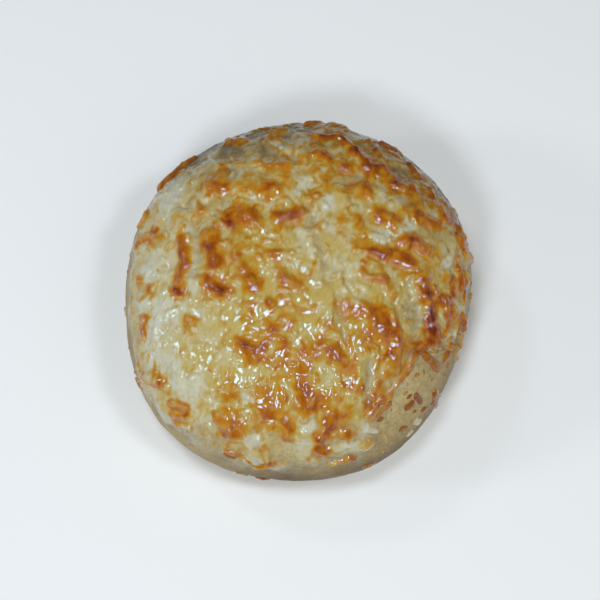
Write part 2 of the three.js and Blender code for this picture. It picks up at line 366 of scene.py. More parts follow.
RIDGES = strips(
    Ridge,
    (-31.5, 8.5, -33, -5.5, 2.0, 1.20), (-24.2, 9, -23.5, 2.5, 3.0, 0.66),
    (-22.5, -0.5, -22, -0.5, 2.8, 0.55), (-22.5, 13, -21, 13.5, 1.7, 0.75),
    (-19, 17, -18, 13.5, 2.0, 1.05), (-17.5, 12, -16.5, 3, 1.7, 0.36), (-16.5, 3, -13, -4, 1.9, 0.42),
    (-15, 15, -12, 14.5, 3.0, 0.38), (-25, -4, -20.5, -7.5, 2.4, 0.85), (-14, -4, -12, -4, 2.6, 0.45),
    (-29, 22, -27.5, 18, 2.0, 0.28), (-33, 17, -32.5, 14, 3.2, 0.15), (-46, 12, -40, 14.5, 1.3, 0.65),
    (-45.5, 18, -43, 21, 1.6, 0.65), (-39.5, 30.2, -29.5, 39, 1.8, 0.85),
    (-42.5, -12, -43, -17, 1.6, 0.70), (-45, -23, -44.5, -24, 1.3, 0.40),
    (-44, -26.6, -38.5, -28.2, 1.7, 0.60), (-37.5, -28.5, -35.5, -30.5, 1.5, 0.40),
    (-37, -35.6, -33.6, -38, 1.7, 0.15), (-35, -34.5, -31, -37.5, 1.3, 0.70),
    (-33.5, -39.6, -29.5, -41.4, 1.1, 0.55), (-29.5, -14, -29, -17, 1.8, 0.50),
    (-21, -40, -16.5, -45.3, 1.9, 0.62), (-14.5, -44.6, -10, -50, 1.9, 0.00),
    (-19.8, -47.8, -13.2, -50.4, 0.9, 0.95), (-12.2, -51.4, -6.4, -51, 0.9, 0.95),
    (-9, -48, -8.4, -50.4, 1.1, 0.40), (-19.5, -36, -18, -34, 2.2, 0.26),
    (-14.5, -22.5, -11, -24, 2.6, 0.40), (-13, -23, -12.5, -25.5, 2.1, 0.66),
    (-7.5, -11.5, -7.4, -11.5, 1.6, 0.95), (-6, -17, -5.5, -17, 1.5, 0.65),
    (-4, -3.5, -0.5, -5, 2.0, 0.65), (-11, -38, -8, -38.5, 2.4, 0.35),
    (-13, -42, -12.5, -43.5, 2.2, 0.30), (-8.5, -42, -8, -44, 2.2, 0.30),
    (-3.5, -42, -3, -45.5, 1.9, 0.72), (1, -31, 3, -39, 3.2, 0.40), (3, -34, 4, -40, 2.0, 0.45),
    (6, -46, 9.5, -41, 1.9, 0.70), (6, -48.5, 8, -48.8, 2.0, 0.55),
    (9.5, -51.2, 15.5, -49.4, 1.1, 0.70), (10, -48, 20, -46.5, 1.8, 0.00),
    (13, -44, 15, -45, 2.1, 0.55), (17, -41.5, 21.5, -43.5, 1.5, 0.00),
    (7, -22.5, 12.5, -26.5, 2.2, 0.45), (17, -11, 24, -18, 3.6, 0.28),
    (23, -17.5, 23.5, -15, 2.0, 0.42), (26, -12, 28, -22, 2.8, 0.28), (28, -22, 26, -28.5, 2.4, 0.15),
    (35.5, -7, 37, -13, 1.9, 1.30), (37, -13, 39.5, -17.5, 2.2, 1.35),
    (38, -18.5, 32, -21, 1.6, 0.60), (41.5, -6, 42, -10, 1.5, 0.70), (43.5, -8, 45, -11, 1.5, 0.55),
    (46.6, -8.5, 47.4, -11.5, 1.5, 0.70), (44.5, -12.5, 44.2, -15, 1.4, 0.05),
    (46.2, -14, 46.4, -17.5, 1.4, 0.60), (43, -16.8, 43.2, -20, 1.3, 0.70),
    (37.5, -21.2, 40.8, -23, 1.5, 0.60), (45.5, 3.5, 46.5, -1, 1.2, 0.60),
    (43.5, 0.5, 44, -4, 0.8, 0.85), (47.4, -1.5, 47, -5, 0.8, 0.85), (38.8, -3, 39.6, -8, 0.8, 0.80),
    (42.8, -12, 41.4, -15.5, 0.8, 0.85), (41, -18.6, 44, -17.5, 0.8, 0.75),
    (36.5, -19.8, 33, -23.5, 1.0, 0.65), (33, -23.5, 29.8, -29, 1.0, 0.55),
    (29.5, -29.8, 22.5, -36.8, 0.9, 0.50), (22, -37.6, 19.6, -40.4, 1.0, 0.65),
    (47.5, 3.5, 47.5, 0, 1.2, 0.50), (42, 2, 42.5, 0.5, 1.4, 0.60), (43, 7, 46, 7.5, 1.3, 0.10),
    (48, 9, 50, 8.5, 1.8, 0.25), (49, 10, 50.5, 9, 1.5, 0.20), (46, 17.5, 47.5, 15.5, 1.5, 0.35),
    (35, -1, 36, -6, 2.2, 0.70), (18, -2.5, 23.5, -3.5, 1.6, 0.40),
    (23.5, -3.5, 26.5, -7.5, 1.6, 0.45), (20.5, 5, 25, 4.5, 2.1, 0.62), (25, 4.5, 31.5, 2, 2.1, 0.50),
    (23, 16, 27, 14, 2.5, 0.72), (30, 9, 36, 7.5, 2.4, 0.55), (33.5, 16.5, 40, 16, 1.8, 0.70),
    (45.5, 13.5, 47, 12, 1.6, 0.60), (41, 21, 42.5, 18, 1.8, 0.60), (38, 28, 38.5, 25, 1.5, 0.60),
    (33, 24.5, 35, 21, 2.0, 0.40), (31, 24.5, 28, 27, 1.6, 0.65), (28, 27, 25, 31.5, 1.8, 0.58),
    (25, 31.5, 20, 32.5, 1.7, 0.78), (19.5, 34, 16, 37.5, 1.9, 0.75), (16, 37.5, 12.5, 41, 1.9, 0.70),
    (12, 41.5, 5.5, 42.5, 2.0, 0.80), (32, 36, 34.5, 31.5, 1.6, 0.60),
    (25, 42.5, 30, 40.5, 1.5, 0.70), (22.5, 38, 24, 35.5, 1.5, 0.55), (10, 49, 13, 48, 2.4, 0.12),
    (3, 49.5, 6, 50, 2.0, 0.50), (18, 24, 19, 23, 3.0, 0.50), (5, 36, 10, 33, 1.8, 0.55),
    (13, 32.5, 14, 31, 1.5, 0.50), (-5, 14, 1, 16.5, 2.0, 0.95), (-9, 30.5, -2, 31.5, 1.8, 0.42),
    (-8, 24, -6, 23, 3.0, 0.35), (-17, 25, -12, 25, 3.8, 0.15), (-23.5, 26, -21, 25, 2.6, 0.50),
    (-27.5, 33, -21.5, 33, 3.2, 0.22), (-16.5, 33.5, -16.4, 33.5, 1.9, 0.42),
    (-12, 32.5, -11.9, 32.5, 1.9, 0.42), (-30.3, 28, -30.2, 28, 1.4, 0.10),
    (-20, 43, -15, 42.5, 1.9, 0.65), (-8, 42, -4, 45.5, 1.4, 0.80),
)

# Troughs between the shreds: the plan places of their ends, half width and depth

TROUGHS = strips(
    Trough,
    (3, 18, 6.5, 6, 2.2, 0.8), (6.5, 6, 9, -4, 2.0, 0.7), (11, -9, 13, -20, 2.2, 0.7),
    (20, -27, 19, -36, 2.2, 0.9), (-28, 10, -29, -2, 2.0, 0.7), (31, -4, 33, -15, 2.6, 0.7),
)

# Pale places, where the cheese melted without browning: plan place, radius and strength

PALE_PATCHES = spots(
    Patch,
    (17, -8.5, 3.0, 0.6), (9, -29, 2.6, 0.6), (-39.5, 2.5, 6.0, 1.0), (-36, 27, 5.0, 1.0),
    (-41, 25.5, 3.5, 1.0), (9, 19, 3.0, 0.6), (-36.5, 21, 4.5, 0.9), (-28.5, 3, 2.5, 0.8),
    (-36, -11.5, 6.5, 1.0), (-41.5, -18.5, 4.0, 0.7), (-40, -25, 4.0, 0.9), (-34.5, -26, 4.5, 0.7),
    (-28, -32, 4.0, 0.45), (-18, -26, 3.5, 0.4), (-25, -22, 6.0, 0.2), (-13.5, -35.5, 3.0, 0.8),
    (-12, -30, 3.0, 0.7), (-11, -46, 3.5, 0.9), (3, -41.5, 3.2, 0.9), (-38, -37, 5.0, 1.0),
    (-30.5, -43.5, 5.0, 0.8), (-16, -14, 3.0, 0.5), (2, 5, 4.5, 0.7), (8, 1, 4.0, 0.35),
    (12.5, 0, 4.5, 1.0), (10, 10, 3.0, 0.2), (14, -5, 4.0, 0.5), (6, -14, 4.0, 0.45),
    (4, -10, 3.5, 0.35), (17, -9, 3.0, 0.5), (24, 9, 3.5, 0.9), (26, 22, 3.5, 0.5),
    (29.5, 12.5, 3.5, 0.9), (8, -30, 3.2, 0.9), (16, -36, 4.0, 0.4), (1.5, -48, 4.5, 0.3),
    (14, -48, 4.0, 0.8), (20, -43, 3.0, 1.0), (2, 24.5, 3.5, 0.7), (-9, -15, 3.0, 0.3),
    (-12.5, -50.5, 3.0, 1.0), (-3, 40, 5.0, 0.3), (-26, 33, 4.5, 0.7), (-20, 20, 3.0, 0.5),
    (43, 6, 4.0, 0.5), (44, -14, 3.0, 0.6), (-1.5, -34.5, 2.5, 0.6), (-43, -7.5, 4.0, 0.8),
    (-24.5, -41, 3.0, 0.6), (-28.5, -5, 2.5, 0.6), (-23.5, -36, 2.5, 0.5), (-33, -29.5, 3.5, 0.8),
)

# Golden places, where the cheese browned all over

GOLDEN_PATCHES = spots(
    Patch,
    (-17, -32, 3.5, 0.26), (-24, -26, 4.0, 0.20), (-34, -9, 3.2, 0.22), (-44, 1, 3.0, 0.26),
    (-4, -11, 3.0, 0.36), (-9, -13, 2.6, 0.32), (15, -32, 3.2, 0.40), (7, 12, 2.6, 0.30),
    (2, 33, 4.0, 0.44), (12, 39, 4.0, 0.62), (45, 6, 3.0, 0.44), (-20, 23, 3.0, 0.40),
    (-45, 13, 3.0, 0.35), (-40, 11, 4.0, 0.50), (-33, 16, 4.5, 0.10), (-27.5, 18, 2.5, 0.22),
    (-22, 25, 3.8, 0.40), (-28, 26, 3.0, 0.12), (-13, 24, 5.0, 0.22), (-8, 23, 4.0, 0.50),
    (-14, 14.5, 5.0, 0.36), (-14, 3, 5.0, 0.26), (-5, 12, 5.0, 0.10), (0, 14, 4.0, 0.38),
    (-2, 28, 5.0, 0.32), (-8, 30, 3.5, 0.24), (-5, 4, 7.0, 0.20), (-36, 34.5, 4.0, 0.55),
    (-18, 43, 3.2, 0.30), (-4, 37, 3.5, 0.14), (5, 38, 5.0, 0.32), (10, 42, 5.0, 0.60),
    (16, 36, 5.0, 0.50), (21, 30.5, 5.0, 0.68), (8, 33, 4.0, 0.42), (3.5, 31, 4.0, 0.35),
    (17.5, 24.5, 4.5, 0.40), (9, 24, 3.5, 0.28), (15.5, 13, 4.5, 0.38), (23.5, 15, 4.2, 0.28),
    (33, 18, 4.0, 0.36), (28, 8, 4.0, 0.40), (33, 8, 4.0, 0.50), (23, 4, 5.0, 0.45),
    (30, 2, 5.0, 0.45), (36, 4, 4.5, 0.24), (21, -2, 3.5, 0.22), (38, 14.5, 3.5, 0.30),
    (44, 20, 6.0, 0.50), (38, 26, 5.0, 0.50), (34, 33, 6.0, 0.50), (26, 40, 6.0, 0.48),
    (47, 12, 5.0, 0.30), (47, 3, 5.0, 0.28), (20, 46, 4.0, 0.35), (10, 48, 5.0, 0.32),
    (3, 49, 4.0, 0.40), (21, -13, 5.0, 0.44), (25, -16, 6.0, 0.37), (27, -22, 5.0, 0.42),
    (19.5, -20, 5.0, 0.46), (24, -30, 5.0, 0.30), (30, -27, 4.5, 0.42), (20.5, -36.5, 4.2, 0.80),
    (33.5, -21, 4.0, 0.42), (3, -15, 4.0, 0.12), (3, -25, 5.0, 0.42), (10, -24, 4.0, 0.40),
    (14, -30, 4.5, 0.48), (1, -36, 5.0, 0.38), (7, -37, 4.0, 0.46), (13, -37, 5.0, 0.42),
    (8.5, -43, 4.0, 0.50), (0, -42, 3.0, 0.30), (14, -44, 2.5, 0.42), (7, -48, 3.0, 0.40),
    (36, -4, 4.5, 0.45), (41, -7, 4.0, 0.50), (45, -2, 4.0, 0.40), (45, -11, 4.0, 0.38),
    (36, -16.5, 3.5, 0.62), (-13, -23, 4.5, 0.34), (-8, -19, 4.0, 0.45), (-4, -24, 5.0, 0.50),
    (-3, -16, 4.0, 0.35), (-14, -13, 3.5, 0.35), (-7, -10, 3.5, 0.05), (-1.5, -6, 4.0, 0.32),
    (-7, -22, 5.5, 0.58), (-4, -29, 4.5, 0.46), (17, 8, 3.5, 0.38), (1, -13, 3.5, 0.34),
    (5, 21, 3.5, 0.42), (7, 26, 4.0, 0.42), (11.5, -16.5, 3.5, 0.36), (16, -33, 4.0, 0.42),
    (6, -45, 3.5, 0.50), (-19.3, -42, 2.6, 0.38), (2, -29, 5.0, 0.32), (-7, -37, 5.0, 0.54),
    (6, -22, 5.0, 0.34), (20, 38, 5.0, 0.45), (31, 27, 4.0, 0.45), (-12, -5, 4.0, 0.32),
    (-20, -6, 4.5, 0.48), (-23.5, 5.5, 4.6, 0.50), (-9, -34, 6.0, 0.34), (-17.5, -35, 3.2, 0.32),
    (-8, -40, 5.0, 0.30), (-16, -41, 3.5, 0.28), (-19, -44, 3.0, 0.36), (-43, -14.5, 2.6, 0.42),
    (-44.5, -27, 4.0, 0.50), (-36, -29, 3.0, 0.26), (-30, -15, 3.0, 0.30), (-33, -38, 3.0, 0.28),
    (-47, -3, 2.5, 0.28), (14.5, -22, 3.5, 0.42), (13, -13, 3.5, 0.46), (13, 30, 3.5, 0.50),
    (-19, 2.5, 3.0, 0.26), (28, 24, 3.5, 0.42), (5.5, 12, 3.0, 0.20), (15.5, 5, 3.0, 0.20),
    (-8, 8, 4.0, 0.22),
)

# Thin places, where the crust shows through

THIN_PATCHES = spots(
    Patch,
    (-18, 38, 7.0, 1.0), (-28, 38, 5.0, 0.9), (-24, 18, 3.5, 0.8), (-27, 14, 4.0, 0.9),
    (-30, 22, 3.0, 0.9), (-19, 30, 3.0, 0.9), (-10, 28, 2.5, 0.8), (-20, 21, 3.0, 0.8),
    (-8, 37, 4.0, 0.9), (0, 47, 6.0, 0.9), (-11, 44, 5.0, 1.0), (-4, 42, 3.5, 0.9),
    (-2, 34, 3.0, 0.7), (14, 27, 4.0, 0.9), (29.5, 31, 4.5, 0.9), (-5, -49, 6.0, 0.9),
    (-25, -44.5, 7.0, 1.0), (-17, -49, 4.0, 0.8), (14, -47, 8.0, 0.9), (33, -12, 4.0, 0.7),
    (42, -21, 6.0, 1.0), (43, 5, 6.0, 0.6), (40, 14, 5.0, 0.5),
)

# Places where fine shreds lie side by side: plan place, radius and bearing

COMB_PITCH = 1.4
COMB_EDGE = (1.2, 0.4)
COMBS = spots(
    Comb,
    (-33, -26, 4.5, 60), (-27, -33, 4.5, 55), (-18, -26, 4.0, 150), (-12.5, -35.5, 4.0, 80),
    (-40, 4, 6.0, 70), (-37, 26, 5.0, 40), (-28.5, 4, 3.5, 85), (-2, -1, 4.5, 120), (8, 3, 5.5, 105),
    (13, -3, 5.0, 100), (11, -12, 4.5, 95), (1, 24, 4.0, 90), (2, -34, 5.0, 85), (8, -30, 3.5, 85),
    (3, -43, 4.0, 70), (-4, -24, 4.5, 60), (23, 1, 4.5, 160), (18, -15, 4.0, 60), (30, -8, 4.5, 80),
    (-20, -10, 5.0, 30), (-38, -12, 5.0, 60), (14, 20, 4.0, 110),
)

# Shreds and bits that baked on to bare crust, most of them on the shoulder: the plan places of
# their ends, radius and browning

PLACED_STRAYS = strips(
    Stray,
    (33.6, -33.2, 34.6, -34.2, 1.3, 0.70), (31, -36.6, 32.2, -35.4, 1.2, 0.64),
    (38.2, -33.4, 38.9, -32.6, 0.9, 0.75), (35.6, -35.8, 36.8, -35.2, 1.0, 0.64),
    (34, -38.6, 34.6, -38.4, 1.3, 0.00), (29.6, -41.8, 30.6, -41.2, 1.0, 0.60),
    (31.8, -41.8, 32.3, -41.3, 1.0, 0.05), (33.3, -28.2, 33.8, -27.8, 0.7, 0.40),
    (20.5, -51.5, 22, -50.6, 1.0, 0.50), (22, -39.2, 25.2, -36.6, 1.4, 0.45),
    (21.4, -41.2, 23.2, -40.4, 1.0, 0.62), (36, -22.4, 40, -24.6, 1.4, 0.55),
    (42.2, -21.5, 44, -18, 1.4, 0.55), (46.2, -12.2, 46.8, -14, 1.7, 0.35),
    (-20, -48.6, -14.5, -50, 1.2, 0.65), (-10.4, -50.6, -7.4, -50.8, 1.1, 0.75),
    (38.8, -31, 40.2, -32.4, 1.2, 0.62), (45.6, -17.2, 46, -18.6, 1.7, 0.35),
)

# Short shreds and crumbs that fell past the sheet all round; pairs are least and most

BARE_BEARINGS = (285, 360)
STRAY_SUNK = 0.6
STRAY_BAND = 15.0
STRAY_RADIUS = (0.7, 1.1)
STRAY_LENGTH = (1.5, 6.0)
STRAY_CLEAR = 2.5
STRAY_BROWNING = 0.2
STRAY_ACROSS_BROWNER = 0.4
STRAY_DETAIL = {"Sides": 14, "Steps": 12}
STRAY_CROOK_SIZE = 2.2 * MM
CRUMB_SEED_STEP = 6
CRUMB_CLEAR = 1.0
CRUMB_BAND = 13.0
CRUMB_GIRTH = (0.25, 0.65)
CRUMB_SLENDERNESS = (1.0, 2.2)
CRUMB_BROWNING = (0.2, 0.7)
CRUMB_DETAIL = {"Sides": 6, "Steps": 4}
CRUMB_CROOK_SIZE = 1.2 * MM
CRUMB_STRAIGHTER = 4
BIT_FLATNESS = 0.7
BIT_TAPER = 0.9
BIT_COVER = 0.9
BIT_BUTTER = 0.4
BIT_BAKING = 0.2
BIT_BROWN_BAKING = 0.6

# The named inputs of the tree that makes the bits

BITS_INPUTS = (
    ("Geometry", "Geometry"), ("Sides", "Int"), ("Steps", "Int"), ("Flatness", "Float"),
    ("Crook", "Float"), ("Crook size", "Float"), ("Seed", "Float"), ("Material", "Material"),
)

# Looks of crust and cheese: three numbers are a colour from 0 to 255 and four a linear one, and
# sizes and depths are in millimetres

CRUST_SPECKLE = (172, 156, 122)
CRUST_SPECKLE_RUN = (0.30, 0.60)
CRUST_SPECKLE_SHARE = 0.6
CRUST_GRAIN = {"detail": 5.0, "roughness": 0.65}
CRUST_GRAIN_SIZE = 1.1
CRUST_PORE_SIZE = 0.7
CRUST_PORE_STRENGTH = 0.5
CRUST_PORE_DEPTH = 0.3
TOAST_COLOURS = (
    (0.10, (195, 167, 88)),
    (0.28, (194, 149, 50)),
    (0.45, (194, 130, 24)),
    (0.62, (182, 106, 10)),
    (0.82, (160, 79, 5)),
    (1.00, (118, 46, 2)),
)
TOAST_RUN = (-0.04, 0.36)
MOTTLE = {"size": 1.5, "detail": 3.0, "roughness": 0.6, "turn": -0.3, "stretch": 1.6}
MOTTLE_SPREAD = 0.42
STREAKS = {"size": 1.5, "detail": 2.0, "roughness": 0.5, "turn": -0.4, "stretch": 2.2}
STREAK_SPREAD = 1.7
# Painted shade: the cheese is darkened towards the rims and far side, where the browning-and-shade value
# from the crust runs high; on the stray bits it darkens the browner ones
SHADE_AND_BAKE_RUN = (0.18, 0.85)
SHADE_AND_BAKE_DARKENING = (0.62, 0.54, 0.41, 1.0)
FIBRES = {"size": 0.75, "detail": 1.0, "turn": -0.4, "stretch": 3.0}
FIBRE_COLOUR = (196, 188, 172)
FIBRE_RUN = (0.36, 0.62)
FIBRE_SHARE = 0.14
FIBRE_DEPTH = 0.045
OIL = {"size": 2.0, "detail": 0.0, "turn": -0.4, "stretch": 2.2}
OIL_DEPTH = 0.38
OILED_COVER = (0.0, 0.5)
BARE_ROUGHNESS = 0.45
OILED_ROUGHNESS = 0.06
STREAK_DISTORTION = 0.8
NOISE_MIDDLE = 0.5
WHITE = (255, 255, 255)

# The stage: the floor and the camera's sensor are in millimetres, all other places in metres

FLOOR_HALF = 1500.0
FLOOR_ROUGHNESS = 0.9
AIM = Vector((0.0, 0.0, 0.02))
SENSOR_WIDTH = 36.0
CAMERA_SHIFT = (0.0032, -0.0010)
WINDOW_COLOUR = (0.86, 0.94, 1.0)
FILL_COLOUR = (1.0, 0.94, 0.84)
LAMPS = (
    Lamp("near_window", (-0.20, -0.52, 0.76), 0.19, 2.5, WINDOW_COLOUR),
    Lamp("top_window", (-0.10, -0.06, 0.97), 0.19, 2.5, WINDOW_COLOUR),
    Lamp("left_window", (-0.80, -0.10, 0.50), 0.16, 1.3, WINDOW_COLOUR),
    Lamp("right_window", (0.34, -0.14, 0.87), 0.16, 1.5, WINDOW_COLOUR),
    Lamp("far_left_window", (-0.46, 0.34, 0.78), 0.13, 0.6, WINDOW_COLOUR),
    Lamp("fill_light", (0.46, -0.40, 0.72), 0.80, 1.1, FILL_COLOUR),
)
ROOM_COLOUR = (1.0, 0.95, 0.88, 1.0)
ROOM_STRENGTH = 0.12


def draws_from(seed):
    """A row of uneven numbers from 0 to 1, the same on every run."""
    factor, most = 16807, 2147483647
    state = seed
    while True:
        state = (state * factor) % most
        yield state / most


def between(least, most, share):
    return least + (most - least) * share


def smoothstep(low, high, value):
    share = np.clip((value - low) / (high - low), 0.0, 1.0)
    return share * share * (3 - 2 * share)


def eased_above(least, ease, value):
    """The value where it is well above the least, and a smooth approach to the least below it."""
    over = value - least
    return least + (over + np.sqrt(over * over + ease * ease)) / 2


def polar(turn, length):
    """The place at a distance from the middle, on a bearing."""
    return length * np.array((math.cos(turn), math.sin(turn)))


def off_line(u, v, start, end):
    """Distance of places from the line between two places."""
    run = end - start
    u, v = u - start[0], v - start[1]
    along = np.clip((u * run[0] + v * run[1]) / max(float(run @ run), SHORTEST_SQUARED), 0, 1)
    return np.hypot(u - along * run[0], v - along * run[1])


def rolling_noise(u, v, size, seed):
    """Smooth noise from about -1 to 1 on the unrolled crust, with swells of the given size."""
    x, y = u / size, v / size
    column, row = np.floor(x), np.floor(y)
    across, up = x - column, y - row

    def corner(right, top):
        mixed = (column + right) * HASH_ACROSS + (row + top) * HASH_UP + seed * HASH_SEED
        wide = np.sin(mixed) * HASH_SPREAD
        turn = (wide - np.floor(wide)) * TAU
        return np.cos(turn) * (across - right) + np.sin(turn) * (up - top)

    ease_x = across**3 * (across * (across * 6 - 15) + 10)
    ease_y = up**3 * (up * (up * 6 - 15) + 10)
    low = corner(0, 0) + (corner(1, 0) - corner(0, 0)) * ease_x
    high = corner(0, 1) + (corner(1, 1) - corner(0, 1)) * ease_x
    return NOISE_GAIN * (low + (high - low) * ease_y)


def add_noise(value, u, v, swells):
    """The value with swells of the unrolled crust added to it."""
    for strength, size, seed in swells:
        value = value + strength * rolling_noise(u, v, size, seed)
    return value


class Crust:
    """The bread's form: a turned profile whose plan radius swells and dips with the bearing."""

    def __init__(self, bread):
        self.radius = bread.roll_radius / MM
        self.height = bread.roll_height / MM
        self.waist = bread.waist_height / MM
        power = 2 / SHOULDER_FULLNESS
        turn = np.linspace(0, math.pi / 2, FINE_STEPS + 1)
        upper_radius = self.radius * np.sin(turn) ** power
        upper_height = self.waist + (self.height - self.waist) * np.clip(np.cos(turn), 0, 1) ** power
        lower_height = self.waist * (1 - np.arange(1, FINE_STEPS + 1) / FINE_STEPS)
        depth = (self.waist - lower_height) / UNDER_WAIST
        lower_radius = self.radius * (1 - depth**SHOULDER_FULLNESS) ** (1 / SHOULDER_FULLNESS)
        self.radii = np.concatenate((upper_radius, lower_radius))
        self.heights = np.concatenate((upper_height, lower_height))
        steps = np.hypot(np.diff(self.radii), np.diff(self.heights))
        self.arcs = np.concatenate(((0.0,), np.cumsum(steps)))
        self.waist_arc = self.arcs[FINE_STEPS]
        self.foot_arc = self.arcs[-1]
        along_radius = np.gradient(self.radii, self.arcs)
        along_height = np.gradient(self.heights, self.arcs)
        length = np.hypot(along_radius, along_height)
        self.out_radius = -along_height / length
        self.out_height = along_radius / length

    def plan_wave(self, bearing):
        factor = np.ones_like(bearing)
        for crests, share, crest in PLAN_WAVES:
            factor += share * np.cos(crests * (bearing - math.radians(crest)))
        return factor

    def over(self, bearing, arc, lift):
        """Points at a height over the crust, in millimetres in the part's frame."""
        bearing, arc, lift = np.broadcast_arrays(
            np.asarray(bearing, float), np.asarray(arc, float), np.asarray(lift, float)
        )
        radius = np.interp(arc, self.arcs, self.radii) + lift * np.interp(arc, self.arcs, self.out_radius)
        height = np.interp(arc, self.arcs, self.heights) + lift * np.interp(arc, self.arcs, self.out_height)
        radius = radius * self.plan_wave(bearing)
        points = np.stack((radius * np.cos(bearing), radius * np.sin(bearing), height), axis=-1)
        return points - PLAN_MIDDLE

    def outward(self, bearing, arc):
        away = self.over(bearing, arc, 1.0) - self.over(bearing, arc, 0.0)
        return away / np.linalg.norm(away, axis=-1, keepdims=True)

    def downhill(self, bearing, arc):
        down = self.over(bearing, arc + HALF_STEP, 0.0) - self.over(bearing, arc - HALF_STEP, 0.0)
        return down / np.linalg.norm(down, axis=-1, keepdims=True)

    def unrolled_plan(self, place):
        """The unrolled place of a plan place above the waist."""
        x, y = place
        bearing = math.atan2(y, x)
        radius = math.hypot(x, y) / float(self.plan_wave(np.array(bearing)))
        upper = slice(0, FINE_STEPS + 1)
        arc = float(np.interp(radius, self.radii[upper], self.arcs[upper]))
        return np.array((arc * math.cos(bearing), arc * math.sin(bearing)))

    def place_of(self, points):
        """Bearing, arc and lift of points near the crust, given in the part's frame."""
        local = points + PLAN_MIDDLE
        bearing = np.arctan2(local[:, 1], local[:, 0])
        radius = np.hypot(local[:, 0], local[:, 1]) / self.plan_wave(bearing)
        nearest = np.empty(len(points), int)
        for chunk in np.array_split(np.arange(len(points)), max(1, len(points) // POINTS_AT_ONCE)):
            gap = (radius[chunk, None] - self.radii) ** 2 + (local[chunk, 2, None] - self.heights) ** 2
            nearest[chunk] = np.argmin(gap, axis=1)
        lift = (radius - self.radii[nearest]) * self.out_radius[nearest]
        lift += (local[:, 2] - self.heights[nearest]) * self.out_height[nearest]
        return bearing, self.arcs[nearest], lift


def sheet_reach(bearing):
    """Arc at which the sheet ends: a smooth run from each tongue to the next notch, and a fray."""
    degrees = np.degrees(bearing) % 360
    ends = np.array([SHEET_EDGE[-1], *SHEET_EDGE, SHEET_EDGE[0]], float)
    ends[0, 0] -= 360
    ends[-1, 0] += 360
    after = np.clip(np.searchsorted(ends[:, 0], degrees, side="right"), 1, len(ends) - 1)
    start, stop = ends[after - 1], ends[after]
    run = smoothstep(0.0, 1.0, (degrees - start[..., 0]) / (stop[..., 0] - start[..., 0]))
    fray = EDGE_FRAY_LENGTH * np.sin(EDGE_FRAY_TONGUES * bearing)
    return start[..., 1] + (stop[..., 1] - start[..., 1]) * run + fray


# Meshes

def linked_object(name, data):
    piece = bpy.data.objects.new(name, data)
    bpy.context.scene.collection.objects.link(piece)
    return piece


def mesh_object(name, points, faces, smooth=True):
    """A mesh object from points in millimetres."""
    mesh = bpy.data.meshes.new(name)
    mesh.from_pydata((np.asarray(points) * MM).tolist(), [], faces)
    mesh.validate()
    mesh.polygons.foreach_set("use_smooth", np.full(len(mesh.polygons), smooth))
    mesh.update()
    return linked_object(name, mesh)


def set_attribute(piece, name, values):
    layer = piece.data.attributes.new(name, "FLOAT", "POINT")
    layer.data.foreach_set("value", np.asarray(values, np.float32))


def evaluated_copy(piece, name):
    """A plain mesh object of what the piece's modifiers make; the piece itself is removed."""
    depsgraph = bpy.context.evaluated_depsgraph_get()
    mesh = bpy.data.meshes.new_from_object(piece.evaluated_get(depsgraph))
    mesh.name = name
    mesh.polygons.foreach_set("use_smooth", np.ones(len(mesh.polygons), bool))
    result = linked_object(name, mesh)
    discard(piece)
    return result


def discard(piece):
    mesh = piece.data
    bpy.data.objects.remove(piece)
    bpy.data.meshes.remove(mesh)


def points_of(mesh):
    flat = np.empty(len(mesh.vertices) * 3, np.float32)
    mesh.vertices.foreach_get("co", flat)
    return flat.reshape(-1, 3).astype(float) / MM


def ring_faces(rings, sides):
    """Faces between rings of equal numbers of points, each ring listed after the one above it."""
    ring = np.arange(rings - 1)[:, None] * sides
    here = np.arange(sides)[None, :]
    after = (here + 1) % sides
    corners = np.stack((ring + here, ring + sides + here, ring + sides + after, ring + after), axis=-1)
    return corners.reshape(-1, 4).tolist()


def fan_faces(middle, first, sides, upward):
    faces = []
    for i in range(sides):
        after = first + (i + 1) % sides
        faces.append((middle, first + i, after) if upward else (middle, after, first + i))
    return faces


def capped_rings(name, top, rings, bottom):
    """A closed mesh of rings between a point on top and a point at the bottom."""
    sides = len(rings[0])
    points = np.concatenate((top, *rings, bottom[None, :]))
    last = len(points) - 1
    faces = [[corner + 1 for corner in face] for face in ring_faces(len(rings), sides)]
    faces += fan_faces(0, 1, sides, True)
    faces += fan_faces(last, last - sides, sides, False)
    return mesh_object(name, points, faces)


# The bread

def crust_relief(crust, bearing, arc):
    """Height of the baked skin's dimples, pores and the fold above the foot, in millimetres."""
    girth = crust.radius * bearing
    skin = add_noise(0.0, girth, arc, SKIN_SWELLS)
    pores = PORES.strength * smoothstep(*PORE_EDGE, rolling_noise(girth, arc, PORES.size, PORES.seed))
    turn = np.degrees(bearing) % 360
    fold_arc = FOLD_ARC + FOLD_SWAY * np.sin(np.radians(turn) * FOLD_SWAYS)
    fold = FOLD_DEPTH * FOLD.share(turn) * np.exp(-(((arc - fold_arc) / FOLD_HALF_WIDTH) ** 2))
    return skin - pores - fold


